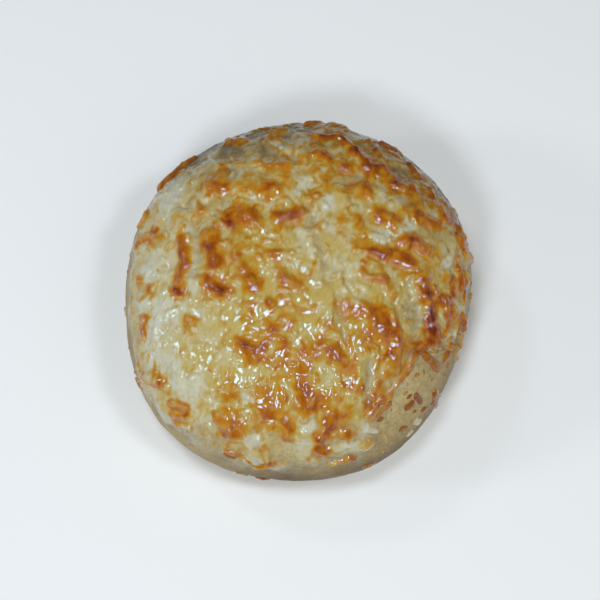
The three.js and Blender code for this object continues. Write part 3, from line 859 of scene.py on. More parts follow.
def crust_baking_and_shade(crust, bearing, arc):
    """How brown the crust is, with painted shade: darker to the waist, far side and front, less on the near
    left; paler on the bare shoulder and low down.
    """
    girth = crust.radius * bearing
    turn = np.degrees(bearing) % 360
    # Painted shade towards the waist, the far side and the front, counted in with the browning
    far_shade = FAR_SHADED_SIDE.share(turn)
    low = smoothstep(*LOW_RUN, arc - LOW_ARC + LOW_HIGHER_FAR * far_shade)
    side = (WAIST_PAINTED_SHADE - NEAR_LEFT_LESS_SHADE * NEAR_LEFT.share(turn)) * smoothstep(*WAIST_SHADE_ARCS, arc)
    side = side + FAR_PAINTED_SHADE * far_shade * smoothstep(*FAR_SHADE_ARCS, arc)
    front_shade = FRONT_PAINTED_SHADE * FRONT_SHADED.share(turn) * smoothstep(*FRONT_SHADE_ARCS, arc)
    baking_and_shade = CRUST_BAKING + side * (1 - LOW_PALER * low) + front_shade
    baking_and_shade += add_noise(0.0, girth, arc, CRUST_MOTTLE)
    middle = crust.unrolled_plan(BARE_SHOULDER.middle)
    off = np.hypot(arc * np.cos(bearing) - middle[0], arc * np.sin(bearing) - middle[1])
    bare = smoothstep(*BARE_SHOULDER_EDGE, off / BARE_SHOULDER.radius)
    return np.clip(baking_and_shade - BARE_SHOULDER.strength * bare, 0, 1)


def bread_piece(crust, bread):
    sides = bread.sides
    foot_arc = crust.foot_arc - FOOT_ROUNDING
    covered = np.linspace(0, COVERED_ARC, COVERED_RINGS)[1:]
    shown = np.linspace(COVERED_ARC, foot_arc, bread.rings)[1:]
    bearing = np.arange(sides) * TAU / sides
    rings = []
    for arc in np.concatenate((covered, shown)):
        level = np.full(sides, arc)
        low = smoothstep(crust.foot_arc - SKIN_ENDS_ABOVE_FOOT, foot_arc, arc)
        fade = float(smoothstep(SKIN_BEGINS, COVERED_ARC, arc) * (1 - low))
        rings.append(crust.over(bearing, level, fade * crust_relief(crust, bearing, level)))
    foot = crust.over(bearing, np.full(sides, foot_arc), 0.0)
    centre = np.array((0.0, 0.0, 0.0)) - PLAN_MIDDLE
    for share, height in FOOT_RINGS:
        ring = centre + (foot - centre) * share
        ring[:, 2] = height
        rings.append(ring)
    top = crust.over(np.zeros(1), np.zeros(1), 0.0)
    piece = capped_rings("bread_crust", top, rings, centre)
    turns, reaches, _ = crust.place_of(points_of(piece.data))
    # The crust's browning together with its painted shade towards the waist, far side and front
    set_attribute(piece, "baking_and_shade", crust_baking_and_shade(crust, turns, reaches))
    return piece


# The cheese

class Sheet:
    """Thickness and browning of the melted sheet at points of the unrolled crust."""

    def __init__(self, crust, cheese, bearing, arc):
        self.crust = crust
        self.cheese = cheese
        self.bearing = bearing
        self.arc = arc
        u, v = arc * np.cos(bearing), arc * np.sin(bearing)
        self.u = add_noise(u, u, v, DRAWN_ACROSS)
        self.v = add_noise(v, u, v, DRAWN_UP)
        self.inside = sheet_reach(bearing) - arc
        self.inside += add_noise(0.0, u, v, EDGE_WANDER)
        for field in ("firm", "piled", "toasted", "paled", "thinned", "gilded", "sunk", "combed"):
            setattr(self, field, np.zeros_like(u))

    def lay(self, start, end, half_width, height, browning, poke, outlined=0.0):
        """Melts one shred into the sheet.

        The shred may carry the edge with it as far as it pokes, and one that pokes far stays firm
        there. An outlined shred is browner along its flanks than on its back.
        """
        run = end - start
        middle = (start + end) / 2
        reach = half_width * SHRED_REACH + math.sqrt(float(run @ run)) / 2
        beside = (np.abs(self.u - middle[0]) < reach) & (np.abs(self.v - middle[1]) < reach)
        near = np.nonzero(beside)[0]
        if not len(near):
            return
        off = off_line(self.u[near], self.v[near], start, end) / half_width
        back = np.clip(1 - off * off, 0, 1) ** SHRED_BACK_POWER
        self.piled[near] += (height * back) ** 2
        flank = smoothstep(*FLANK_RISE, off) * smoothstep(*FLANK_FALL, off)
        stain = browning * smoothstep(*STAIN_EDGE, off)
        stain += outlined * (FLANK_DARKER * browning * flank - BACK_PALER * stain)
        self.toasted[near] = 1 - (1 - self.toasted[near]) * (1 - stain)
        if poke > 0:
            tongue = (1 - off) * half_width * TONGUE_SLOPE
            inside = self.inside[near]
            self.inside[near] = np.where(inside > -poke, np.maximum(inside, tongue), inside)
        if poke > FIRM_POKE:
            self.firm[near] = np.maximum(self.firm[near], smoothstep(*FIRM_EDGE, off))

    def blot(self, patches, field, seed, spread=1.0):
        """Stains a field with ragged patches."""
        rags = [Swell(strength, size, seed + i) for i, (strength, size) in enumerate(PATCH_RAGS)]
        ragged = add_noise(0.0, self.u, self.v, rags)
        for place, radius, strength in patches:
            middle = self.crust.unrolled_plan(place)
            off = np.hypot(self.u - middle[0], self.v - middle[1]) / (radius * spread) + ragged
            np.maximum(field, strength * smoothstep(*PATCH_EDGE, off), out=field)

    def sink_troughs(self):
        for start, end, half_width, depth in TROUGHS:
            ends = self.crust.unrolled_plan(start), self.crust.unrolled_plan(end)
            off = off_line(self.u, self.v, *ends) / half_width
            dip = depth * np.clip(1 - off * off, 0, 1) ** TROUGH_POWER
            np.maximum(self.sunk, dip, out=self.sunk)

    def comb(self):
        for place, radius, bearing in COMBS:
            middle = self.crust.unrolled_plan(place)
            turn = math.radians(bearing)
            u, v = self.u - middle[0], self.v - middle[1]
            across = v * math.cos(turn) - u * math.sin(turn)
            share = smoothstep(*COMB_EDGE, np.hypot(u, v) / radius)
            self.combed += share * np.cos(TAU * across / COMB_PITCH)

    def lay_ridges(self):
        for start, end, half_width, browning in RIDGES:
            ends = self.crust.unrolled_plan(start), self.crust.unrolled_plan(end)
            arc = np.linalg.norm(ends[0] + ends[1]) / 2
            height = self.cheese.ridge_height / MM * (RIDGE_LEAST_RISE + RIDGE_BROWN_RISE * browning)
            height *= math.sqrt(half_width / RIDGE_USUAL_HALF)
            height *= 1 + RIDGE_EDGE_RISE * smoothstep(*RIDGE_EDGE_ARCS, arc)
            outlined = RIDGE_OUTLINE * smoothstep(*RIDGE_OUTLINE_ARCS, arc)
            self.lay(*ends, half_width * RIDGE_SPREAD, height, RIDGE_STAIN * browning, RIDGE_POKE, outlined)

    def lay_scattered(self):
        draw = draws_from(self.cheese.seed)
        count = self.cheese.laid_shreds
        for i in range(count):
            middle = polar(i * GOLDEN_TURN, LAID_ARC * math.sqrt((i + 0.5) / count))
            half = between(*LAID_HALF, next(draw))
            reach = polar(next(draw) * math.pi, half)
            width = between(*LAID_WIDTH, next(draw))
            height = between(*LAID_HEIGHT, next(draw))
            browning = between(*LAID_BROWNING, next(draw))
            self.lay(middle - reach, middle + reach, width, height, browning, LAID_POKE, LAID_OUTLINE)

    def lay_rim(self):
        draw = draws_from(self.cheese.seed + RIM_SEED_STEP)
        for _ in range(self.cheese.rim_shreds):
            bearing = next(draw) * TAU
            arc = float(sheet_reach(np.array(bearing))) - between(*RIM_INSET, next(draw))
            middle = polar(bearing, arc)
            half = between(*RIM_HALF, next(draw))
            reach = polar(next(draw) * math.pi, half)
            width = between(*RIM_WIDTH, next(draw))
            browning = between(*RIM_BROWNING, next(draw))
            height = between(*RIM_HEIGHT, next(draw))
            self.lay(middle - reach, middle + reach, width, height, browning, 0.0)

    def lay_blisters(self):
        draw = draws_from(self.cheese.seed + BLISTER_SEED_STEP)
        for _ in range(self.cheese.blisters):
            arc = BLISTER_ARC * math.sqrt(next(draw))
            middle = polar(next(draw) * TAU, arc)
            width = between(*BLISTER_WIDTH, next(draw))
            browning = next(draw) * BLISTER_BROWNING
            self.lay(middle, middle + BLISTER_LENGTH, width, width * BLISTER_RISE, browning, 0.0)

    def settle(self):
        """Works out height over the crust, browning, cover and butteriness at each point."""
        self.lay_ridges()
        self.lay_scattered()
        self.lay_rim()
        self.lay_blisters()
        self.sink_troughs()
        self.comb()
        self.blot(PALE_PATCHES, self.paled, PALE_SEED)
        self.blot(THIN_PATCHES, self.thinned, THIN_SEED)
        self.blot(GOLDEN_PATCHES, self.gilded, GOLDEN_SEED, GOLDEN_SPREAD)
        self.settle_height()
        self.settle_browning()
        self.settle_cover()
        return self

    def settle_height(self):
        u, v = self.u, self.v
        heavy = smoothstep(*HEAVY_INSIDE, self.inside)
        film = self.cheese.film / MM * add_noise(FILM_USUAL, u, v, FILM_SWELL)
        film = eased_above(FILM_LEAST, FILM_EASE, film) * (1 - THINNED_AWAY * self.thinned)
        film = film * between(FILM_AT_EDGE, 1.0, heavy)
        piled = np.sqrt(self.piled)
        swell = add_noise(0.0, u, v, SHEET_SWELLS)
        firm = self.firm * smoothstep(*FIRM_FADE, self.inside)
        self.fade = np.maximum(smoothstep(*EDGE_FADE, self.inside), firm)
        thick = film + piled + swell * between(SWELL_AT_EDGE, 1.0, heavy) + add_noise(0.0, u, v, WRINKLES)
        thick = thick + COMB_RISE * self.combed - self.sunk
        self.thick = eased_above(THICK_LEAST, THICK_EASE, thick) * self.fade
        skin = crust_relief(self.crust, self.bearing, self.arc)
        self.lift = skin * (1 - smoothstep(*SKIN_HIDDEN, self.thick)) + self.thick
        self.lift -= PAST_EDGE_DROP * smoothstep(*PAST_EDGE, self.inside)
        self.crest = smoothstep(*CREST, piled + swell)

    def settle_browning(self):
        u, v = self.u, self.v
        spots = add_noise(0.0, u, v, BROWN_SPOTS)
        golden = GOLDEN_USUAL + GOLDEN_CREST * self.crest + GOLDEN_SPOTS * spots
        golden = self.gilded * (golden - GOLDEN_FAR_LESS * smoothstep(*GOLDEN_FAR, v))
        toast = self.toasted * (TOAST_USUAL + TOAST_SPOTS * spots)
        brown = 1 - (1 - np.clip(golden, 0, 1)) * (1 - np.clip(toast, 0, 1))
        brown += add_noise(BROWN_LEAST, u, v, BROWN_MOTTLE)
        brown -= PALE_LESS_BROWN * self.paled + SUNK_LESS_BROWN * self.sunk
        self.browning = np.clip(brown, 0, 1)

    def settle_cover(self):
        u, v = self.u, self.v
        pale = PALE_COVER * self.paled * self.fade
        golden = GOLDEN_COVER * smoothstep(*GOLDEN_COVERS, self.gilded)
        golden = golden * smoothstep(*GOLDEN_COVER_EDGE, self.inside)
        cover = np.maximum(smoothstep(*COVER_THICK, self.thick), np.maximum(pale, golden))
        self.cover = cover * (1 - SUNK_LESS_COVER * self.sunk)
        warm = smoothstep(*BUTTER_REACH, np.hypot(u - BUTTER_MIDDLE[0], v - BUTTER_MIDDLE[1]))
        butter = add_noise(BUTTER_USUAL, u, v, BUTTER_SWELL) + BUTTER_MORE * warm
        butter = butter - BUTTER_FAR_LESS * smoothstep(*BUTTER_FAR, v)
        butter = butter - PALE_LESS_BUTTER * self.paled - SUNK_LESS_BUTTER * self.sunk
        self.butter = np.clip(butter, 0, 1)


def shell_disc(reach, spacing):
    """Points of a close triangular lattice over a disc, and the faces between them."""
    rows = int(reach / (spacing * ROW_PITCH)) + 1
    columns = int(reach / spacing) + 2
    row = np.arange(-rows, rows + 1)
    column = np.arange(-columns, columns + 1)
    across = column[None, :] * spacing + (row % 2)[:, None] * spacing / 2
    up = np.repeat(row[:, None] * spacing * ROW_PITCH, len(column), axis=1)
    within = (np.hypot(across, up) <= reach).ravel()
    corner = np.arange(across.size).reshape(across.shape)
    faces = []
    for parity in (0, 1):
        lower = np.nonzero(row[:-1] % 2 == parity)[0]
        a, b = corner[lower][:, :-1], corner[lower][:, 1:]
        c, d = corner[lower + 1][:, :-1], corner[lower + 1][:, 1:]
        halves = ((a, b, d), (a, d, c)) if parity else ((a, b, c), (b, d, c))
        faces += [np.stack(half, -1).reshape(-1, 3) for half in halves]
    faces = np.concatenate(faces)
    faces = faces[within[faces].all(axis=1)]
    used = np.unique(faces)
    renumber = np.full(corner.size, -1)
    renumber[used] = np.arange(len(used))
    places = np.stack((across.ravel(), up.ravel()), axis=-1)[used]
    return places, renumber[faces]


def rim_of(faces):
    """The boundary of a disc of faces, as ordered pairs of points."""
    edges = np.concatenate((faces[:, (0, 1)], faces[:, (1, 2)], faces[:, (2, 0)]))
    forward = set(map(tuple, edges.tolist()))
    return [(a, b) for a, b in forward if (b, a) not in forward]


def cheese_piece(crust, cheese):
    places, faces = shell_disc(cheese.shell_reach / MM, cheese.spacing / MM)
    bearing = np.arctan2(places[:, 1], places[:, 0])
    arc = np.hypot(places[:, 0], places[:, 1])
    sheet = Sheet(crust, cheese, bearing, arc).settle()
    points = crust.over(bearing, arc, sheet.lift)
    heart = np.array((0.0, 0.0, crust.waist)) - PLAN_MIDDLE
    closing = [(b, a, len(points)) for a, b in sorted(rim_of(faces))]
    shell = mesh_object("shell", np.vstack((points, heart)), faces.tolist() + closing)
    core = core_solid(crust, -cheese.bedding / MM)
    cut = shell.modifiers.new("bread", "BOOLEAN")
    cut.operation = "DIFFERENCE"
    cut.solver = "MANIFOLD"
    cut.object = core
    piece = evaluated_copy(shell, "melted_cheese")
    discard(core)
    drop_scraps(piece)
    bearing, arc, _ = crust.place_of(points_of(piece.data))
    baked = Sheet(crust, cheese, bearing, arc).settle()
    for name in ("browning", "cover", "butter"):
        set_attribute(piece, name, getattr(baked, name))
    # The crust's browning with its painted shade, which darkens the sheet towards the rims and far side
    set_attribute(piece, "baking_and_shade", crust_baking_and_shade(crust, bearing, arc))
    return piece


def core_solid(crust, lift):
    """The bread's form moved in or out by a lift, to cut the underside of the sheet."""
    bearing = np.arange(CORE_SIDES) * TAU / CORE_SIDES
    arcs = np.linspace(0, crust.foot_arc, CORE_RINGS)[1:]
    rings = [crust.over(bearing, np.full(CORE_SIDES, arc), lift) for arc in arcs]
    top = crust.over(np.zeros(1), np.zeros(1), lift)
    middle = np.array((0.0, 0.0, rings[-1][0, 2])) - PLAN_MIDDLE
    return capped_rings("core", top, rings, middle)


def drop_scraps(piece):
    """Keeps only the largest connected part of a mesh."""
    mesh = piece.data
    edges = np.empty(len(mesh.edges) * 2, np.int32)
    mesh.edges.foreach_get("vertices", edges)
    edges = edges.reshape(-1, 2)
    group = np.arange(len(mesh.vertices))
    while True:
        lowest = np.minimum(group[edges[:, 0]], group[edges[:, 1]])
        before = group.copy()
        np.minimum.at(group, edges[:, 0], lowest)
        np.minimum.at(group, edges[:, 1], lowest)
        group = group[group]
        if (group == before).all():
            break
    names, counts = np.unique(group, return_counts=True)
    if len(names) == 1:
        return
    work = bmesh.new()
    work.from_mesh(mesh)
    work.verts.ensure_lookup_table()
    scraps = [work.verts[i] for i in np.nonzero(group != names[np.argmax(counts)])[0]]
    bmesh.ops.delete(work, geom=scraps, context="VERTS")
    work.to_mesh(mesh)
    work.free()


# The strays

class Bits:
    """Places, directions and sizes of bits of cheese that lie on the crust, in millimetres."""

    def __init__(self, crust):
        self.crust = crust
        self.rows = []

    def add(self, bearing, arc, along, half, girth, browning):
        middle = self.crust.over(bearing, arc, girth * (1 - 2 * STRAY_SUNK))
        outward = self.crust.outward(bearing, arc)
        self.rows.append((middle, along, outward, half, girth, browning))

    def add_placed(self, stray):
        ends = [self.crust.unrolled_plan(place) for place in (stray.start, stray.end)]
        first, last = [self.crust.over(math.atan2(v, u), math.hypot(u, v), 0.0) for u, v in ends]
        u, v = (ends[0] + ends[1]) / 2
        bearing, arc = math.atan2(v, u), math.hypot(u, v)
        length = np.linalg.norm(last - first)
        half = length / 2 + stray.radius
        self.add(bearing, arc, (last - first) / length, half, stray.radius, stray.browning)

    def add_turned(self, bearing, arc, turn, half, girth, browning):
        down = self.crust.downhill(bearing, arc)
        across = np.cross(self.crust.outward(bearing, arc), down)
        self.add(bearing, arc, down * math.cos(turn) + across * math.sin(turn), half, girth, browning)

    def points_object(self, name):
        """A mesh of single points that carry the bits' directions and sizes."""
        middles, alongs, outwards, halves, girths, brownings = map(np.array, zip(*self.rows))
        piece = mesh_object(name, middles, [])
        for label, vectors in (("along", alongs), ("outward", outwards)):
            layer = piece.data.attributes.new(label, "FLOAT_VECTOR", "POINT")
            layer.data.foreach_set("vector", vectors.astype(np.float32).ravel())
        set_attribute(piece, "half_length", halves * MM)
        set_attribute(piece, "girth", girths * MM)
        set_attribute(piece, "browning", brownings)
        set_attribute(piece, "cover", np.full(len(middles), BIT_COVER))
        set_attribute(piece, "butter", np.full(len(middles), BIT_BUTTER))
        set_attribute(piece, "baking_and_shade", BIT_BAKING + BIT_BROWN_BAKING * brownings)
        return piece


def stray_bits(crust, strays):
    """The placed shreds, and those that fell past the sheet all round."""
    bits = Bits(crust)
    for stray in PLACED_STRAYS:
        bits.add_placed(stray)
    draw = draws_from(strays.seed)
    for _ in range(strays.fallen):
        bearing = next(draw) * TAU
        reach = float(sheet_reach(np.array(bearing)))
        arc = reach + STRAY_BAND * next(draw)
        radius = between(*STRAY_RADIUS, next(draw))
        length = between(*STRAY_LENGTH, next(draw))
        turn = next(draw) * math.pi
        browning = STRAY_BROWNING + STRAY_ACROSS_BROWNER * abs(math.sin(turn))
        if arc - reach > STRAY_CLEAR:
            bits.add_turned(bearing, arc, turn, length / 2 + radius, radius, browning)
    return bits


def crumb_bits(crust, strays):
    """Crumbs of cheese round the sheet's edge, every other one on the bare shoulder."""
    bits = Bits(crust)
    draw = draws_from(strays.seed + CRUMB_SEED_STEP)
    for i in range(strays.crumbs):
        share = next(draw)
        bearing = math.radians(between(*BARE_BEARINGS, share)) if i % 2 else share * TAU
        arc = float(sheet_reach(np.array(bearing))) + CRUMB_CLEAR + CRUMB_BAND * next(draw) ** 2
        girth = between(*CRUMB_GIRTH, next(draw))
        half = girth * between(*CRUMB_SLENDERNESS, next(draw))
        turn = next(draw) * math.pi
        bits.add_turned(bearing, arc, turn, half, girth, between(*CRUMB_BROWNING, next(draw)))
    return bits


def wire(tree, *steps):
    """Links each output to the input that follows it."""
    for output, socket in steps:
        tree.links.new(output, socket)


def named_attribute(tree, name, kind):
    node = add_node(tree, "GeometryNodeInputNamedAttribute", data_type=kind)
    set_inputs(node, {"Name": name})
    return node.outputs["Attribute"]


def bits_tree():
    """A node tree that sets a blunt, uneven bit of cheese on every point."""
    tree = bpy.data.node_groups.new("baked_bits", "GeometryNodeTree")
    for name, kind in BITS_INPUTS:
        tree.interface.new_socket(name, in_out="INPUT", socket_type="NodeSocket" + kind)
    tree.interface.new_socket("Geometry", in_out="OUTPUT", socket_type="NodeSocketGeometry")
    given = add_node(tree, "NodeGroupInput").outputs
    result = add_node(tree, "NodeGroupOutput")

    # A rod of unit radius and unit half length, drawn in to blunt ends
    rod = add_node(tree, "GeometryNodeMeshCylinder", fill_type="TRIANGLE_FAN")
    set_inputs(rod, {"Radius": 1.0, "Depth": 2.0})
    place = add_node(tree, "ShaderNodeSeparateXYZ")
    squared = math_node(tree, "MULTIPLY", place.outputs["Z"], place.outputs["Z"])
    fourth = math_node(tree, "MULTIPLY", squared, squared)
    room = math_node(tree, "SUBTRACT", 1.0, math_node(tree, "MULTIPLY", fourth, BIT_TAPER))
    width = math_node(tree, "SQRT", room, 0.0)
    blunt = add_node(tree, "ShaderNodeCombineXYZ")
    tapered = add_node(tree, "GeometryNodeSetPosition")
    wire(
        tree,
        (given["Sides"], rod.inputs["Vertices"]),
        (given["Steps"], rod.inputs["Side Segments"]),
        (add_node(tree, "GeometryNodeInputPosition").outputs["Position"], place.inputs["Vector"]),
        (math_node(tree, "MULTIPLY", place.outputs["X"], width), blunt.inputs["X"]),
        (math_node(tree, "MULTIPLY", place.outputs["Y"], width), blunt.inputs["Y"]),
        (place.outputs["Z"], blunt.inputs["Z"]),
        (rod.outputs["Mesh"], tapered.inputs["Geometry"]),
        (blunt.outputs["Vector"], tapered.inputs["Position"]),
    )

    # One rod on each point, turned and sized by what the point carries
    turn = add_node(tree, "FunctionNodeAxesToRotation", primary_axis="Z", secondary_axis="X")
    girth = named_attribute(tree, "girth", "FLOAT")
    scale = add_node(tree, "ShaderNodeCombineXYZ")
    laid = add_node(tree, "GeometryNodeInstanceOnPoints")
    real = add_node(tree, "GeometryNodeRealizeInstances")
    wire(
        tree,
        (named_attribute(tree, "along", "FLOAT_VECTOR"), turn.inputs["Primary Axis"]),
        (named_attribute(tree, "outward", "FLOAT_VECTOR"), turn.inputs["Secondary Axis"]),
        (math_node(tree, "MULTIPLY", girth, given["Flatness"]), scale.inputs["X"]),
        (girth, scale.inputs["Y"]),
        (named_attribute(tree, "half_length", "FLOAT"), scale.inputs["Z"]),
        (given["Geometry"], laid.inputs["Points"]),
        (tapered.outputs["Geometry"], laid.inputs["Instance"]),
        (turn.outputs["Rotation"], laid.inputs["Rotation"]),
        (scale.outputs["Vector"], laid.inputs["Scale"]),
        (laid.outputs["Instances"], real.inputs["Geometry"]),
    )

    # All the rods drawn crooked by noise
    noise = add_node(tree, "ShaderNodeTexNoise", noise_dimensions="4D")
    set_inputs(noise, {"Detail": 1.0})
    centred = add_node(tree, "ShaderNodeVectorMath", operation="SUBTRACT")
    set_inputs(centred, {1: (NOISE_MIDDLE,) * 3})
    shift = add_node(tree, "ShaderNodeVectorMath", operation="SCALE")
    crooked = add_node(tree, "GeometryNodeSetPosition")
    smooth = add_node(tree, "GeometryNodeSetShadeSmooth")
    finished = add_node(tree, "GeometryNodeSetMaterial")
    wire(
        tree,
        (given["Seed"], noise.inputs["W"]),
        (math_node(tree, "DIVIDE", 1.0, given["Crook size"]), noise.inputs["Scale"]),
        (noise.outputs["Color"], centred.inputs[0]),
        (centred.outputs["Vector"], shift.inputs[0]),
        (given["Crook"], shift.inputs["Scale"]),
        (real.outputs["Geometry"], crooked.inputs["Geometry"]),
        (shift.outputs["Vector"], crooked.inputs["Offset"]),
        (crooked.outputs["Geometry"], smooth.inputs["Geometry"]),
        (smooth.outputs["Geometry"], finished.inputs["Geometry"]),
        (given["Material"], finished.inputs["Material"]),
        (finished.outputs["Geometry"], result.inputs["Geometry"]),
    )
    return tree


def bits_piece(name, bits, tree, values):
    """Makes a plain mesh of bits of cheese; the values are the tree's named inputs."""
    points = bits.points_object(name + "_points")
    modifier = points.modifiers.new("bits", "NODES")
    modifier.node_group = tree
    for socket in tree.interface.items_tree:
        if socket.in_out == "INPUT" and socket.name in values:
            modifier[socket.identifier] = values[socket.name]
    return evaluated_copy(points, name)


# Materials

def new_material(name):
    material = bpy.data.materials.new(name)
    material.use_nodes = True
    tree = material.node_tree
    shader = tree.nodes["Principled BSDF"]
    return material, tree, shader


def add_node(tree, kind, **settings):
    node = tree.nodes.new(kind)
    for key, value in settings.items():
        setattr(node, key, value)
    return node


def set_inputs(node, values):
    for name, value in values.items():
        node.inputs[name].default_value = value


def attribute_of(tree, name):
    return add_node(tree, "ShaderNodeAttribute", attribute_name=name).outputs["Fac"]


def srgb(red, green, blue):
    """A linear colour from values of 0 to 255."""
    linear = []
    for value in (red, green, blue):
        share = value / 255
        linear.append(share / 12.92 if share <= 0.04045 else ((share + 0.055) / 1.055) ** 2.4)
    return (*linear, 1.0)


def colour_ramp(tree, value, stops):
    ramp = add_node(tree, "ShaderNodeValToRGB")
    elements = ramp.color_ramp.elements
    while len(elements) < len(stops):
        elements.new(0.5)
    for element, (place, colour) in zip(elements, stops):
        element.position = place
        element.color = colour
    tree.links.new(value, ramp.inputs["Fac"])
    return ramp.outputs["Color"]


def eased_range(tree, value, low, high):
    """A smooth run from 0 to 1 as the value goes from low to high."""
    node = add_node(tree, "ShaderNodeMapRange", interpolation_type="SMOOTHSTEP")
    set_inputs(node, {"From Min": low, "From Max": high})
    tree.links.new(value, node.inputs["Value"])
    return node.outputs["Result"]


def noise_of(tree, size, detail=3.0, roughness=0.55, turn=0.0, stretch=1.0):
    """Noise on Object coordinates with features of about the given size in millimetres.

    A stretch draws the features out into streaks, which lie turned from the y axis.
    """
    place = add_node(tree, "ShaderNodeTexCoord")
    drawn = add_node(tree, "ShaderNodeMapping", vector_type="TEXTURE")
    set_inputs(drawn, {"Rotation": (0.0, 0.0, turn), "Scale": (1.0, stretch, 1.0)})
    noise = add_node(tree, "ShaderNodeTexNoise")
    set_inputs(noise, {
        "Scale": 1 / (size * MM),
        "Detail": detail,
        "Roughness": roughness,
        "Distortion": STREAK_DISTORTION if stretch > 1 else 0.0,
    })
    wire(
        tree,
        (place.outputs["Object"], drawn.inputs["Vector"]),
        (drawn.outputs["Vector"], noise.inputs["Vector"]),
    )
    return noise.outputs["Fac"]


def math_node(tree, operation, first, second):
    node = add_node(tree, "ShaderNodeMath", operation=operation)
    for socket, value in zip(node.inputs, (first, second)):
        if isinstance(value, (int, float)):
            socket.default_value = value
        else:
            tree.links.new(value, socket)
    return node.outputs[0]


def spread_noise(tree, noise, spread):
    """Noise moved to lie evenly about zero."""
    centred = math_node(tree, "SUBTRACT", noise, NOISE_MIDDLE)
    return math_node(tree, "MULTIPLY", centred, spread)


def mix_colour(tree, blend, share, first, second):
    node = add_node(tree, "ShaderNodeMix", data_type="RGBA", blend_type=blend)
    for name, value in (("Factor", share), ("A", first), ("B", second)):
        socket = next(s for s in node.inputs if s.name == name and s.enabled)
        if isinstance(value, bpy.types.NodeSocket):
            tree.links.new(value, socket)
        else:
            socket.default_value = value
    return next(s for s in node.outputs if s.enabled)


def bump_of(tree, height, distance, strength=1.0, under=None):
    bump = add_node(tree, "ShaderNodeBump")
    set_inputs(bump, {"Strength": strength, "Distance": distance * MM})
    tree.links.new(height, bump.inputs["Height"])
    if under:
        tree.links.new(under, bump.inputs["Normal"])
    return bump.outputs["Normal"]


def paled_by(tree, noise, run, colour):
    """A tint that goes from a colour to white as the noise goes over a run."""
    return colour_ramp(tree, noise, ((run[0], srgb(*colour)), (run[1], srgb(*WHITE))))


def crust_tone(tree, bread):
    """Colour of the baked skin with its painted shade, the same on the bare crust and under thin cheese."""
    stops = ((0.0, bread.crust_pale), (0.5, bread.crust_tan), (1.0, bread.crust_dark_shaded))
    tone = colour_ramp(tree, attribute_of(tree, "baking_and_shade"), stops)
    grain = noise_of(tree, CRUST_GRAIN_SIZE, **CRUST_GRAIN)
    speckle = paled_by(tree, grain, CRUST_SPECKLE_RUN, CRUST_SPECKLE)
    return mix_colour(tree, "MULTIPLY", CRUST_SPECKLE_SHARE, tone, speckle)


def crust_material(bread):
    material, tree, shader = new_material("baked_crust")
    set_inputs(shader, {
        "Roughness": 0.5,
        "IOR": 1.3,
        "Subsurface Weight": 0.06,
        "Subsurface Radius": (0.002, 0.001, 0.0005),
    })
    pores = noise_of(tree, CRUST_PORE_SIZE, **CRUST_GRAIN)
    wire(
        tree,
        (crust_tone(tree, bread), shader.inputs["Base Color"]),
        (bump_of(tree, pores, CRUST_PORE_DEPTH, CRUST_PORE_STRENGTH), shader.inputs["Normal"]),
    )
    return material


def cheese_tone(tree, bread, cheese, cover, fibres):
    """Colour of the cheese: cream to butter where it is pale, then browned, and thin over the crust, then
    darkened by painted shade towards the rims and far side.
    """
    mottle = spread_noise(tree, noise_of(tree, **MOTTLE), MOTTLE_SPREAD)
    toast = math_node(tree, "ADD", attribute_of(tree, "browning"), mottle)
    stops = [(place, srgb(*colour)) for place, colour in TOAST_COLOURS]
    toasted = colour_ramp(tree, toast, stops)
    streaks = spread_noise(tree, noise_of(tree, **STREAKS), STREAK_SPREAD)
    yellow = math_node(tree, "ADD", attribute_of(tree, "butter"), streaks)
    yellow.node.use_clamp = True
    pale = mix_colour(tree, "MIX", yellow, cheese.cream_colour, cheese.butter_colour)
    colour = mix_colour(tree, "MIX", eased_range(tree, toast, *TOAST_RUN), pale, toasted)
    colour = mix_colour(tree, "MIX", cover, crust_tone(tree, bread), colour)
    # Painted shade: darker towards the rims and far side, and darker on browner stray bits
    shade_and_bake = eased_range(tree, attribute_of(tree, "baking_and_shade"), *SHADE_AND_BAKE_RUN)
    colour = mix_colour(tree, "MULTIPLY", shade_and_bake, colour, SHADE_AND_BAKE_DARKENING)
    tint = paled_by(tree, fibres, FIBRE_RUN, FIBRE_COLOUR)
    return mix_colour(tree, "MULTIPLY", FIBRE_SHARE, colour, tint)


def cheese_material(bread, cheese):
    material, tree, shader = new_material("cheese_skin")
    cover = attribute_of(tree, "cover")
    fibres = noise_of(tree, **FIBRES)
    set_inputs(shader, {
        "IOR": 1.58,
        "Specular Tint": (0.40, 0.74, 1.0, 1.0),
        "Subsurface Weight": 0.4,
        "Subsurface Radius": (0.0014, 0.0008, 0.0003),
    })
    satin = add_node(tree, "ShaderNodeMapRange")
    set_inputs(satin, {
        "From Min": OILED_COVER[0],
        "From Max": OILED_COVER[1],
        "To Min": BARE_ROUGHNESS,
        "To Max": OILED_ROUGHNESS,
    })
    oil = bump_of(tree, noise_of(tree, **OIL), OIL_DEPTH)
    wire(
        tree,
        (cheese_tone(tree, bread, cheese, cover, fibres), shader.inputs["Base Color"]),
        (cover, satin.inputs["Value"]),
        (satin.outputs["Result"], shader.inputs["Roughness"]),
        (bump_of(tree, fibres, FIBRE_DEPTH, under=oil), shader.inputs["Normal"]),
    )
    return material


# Settings

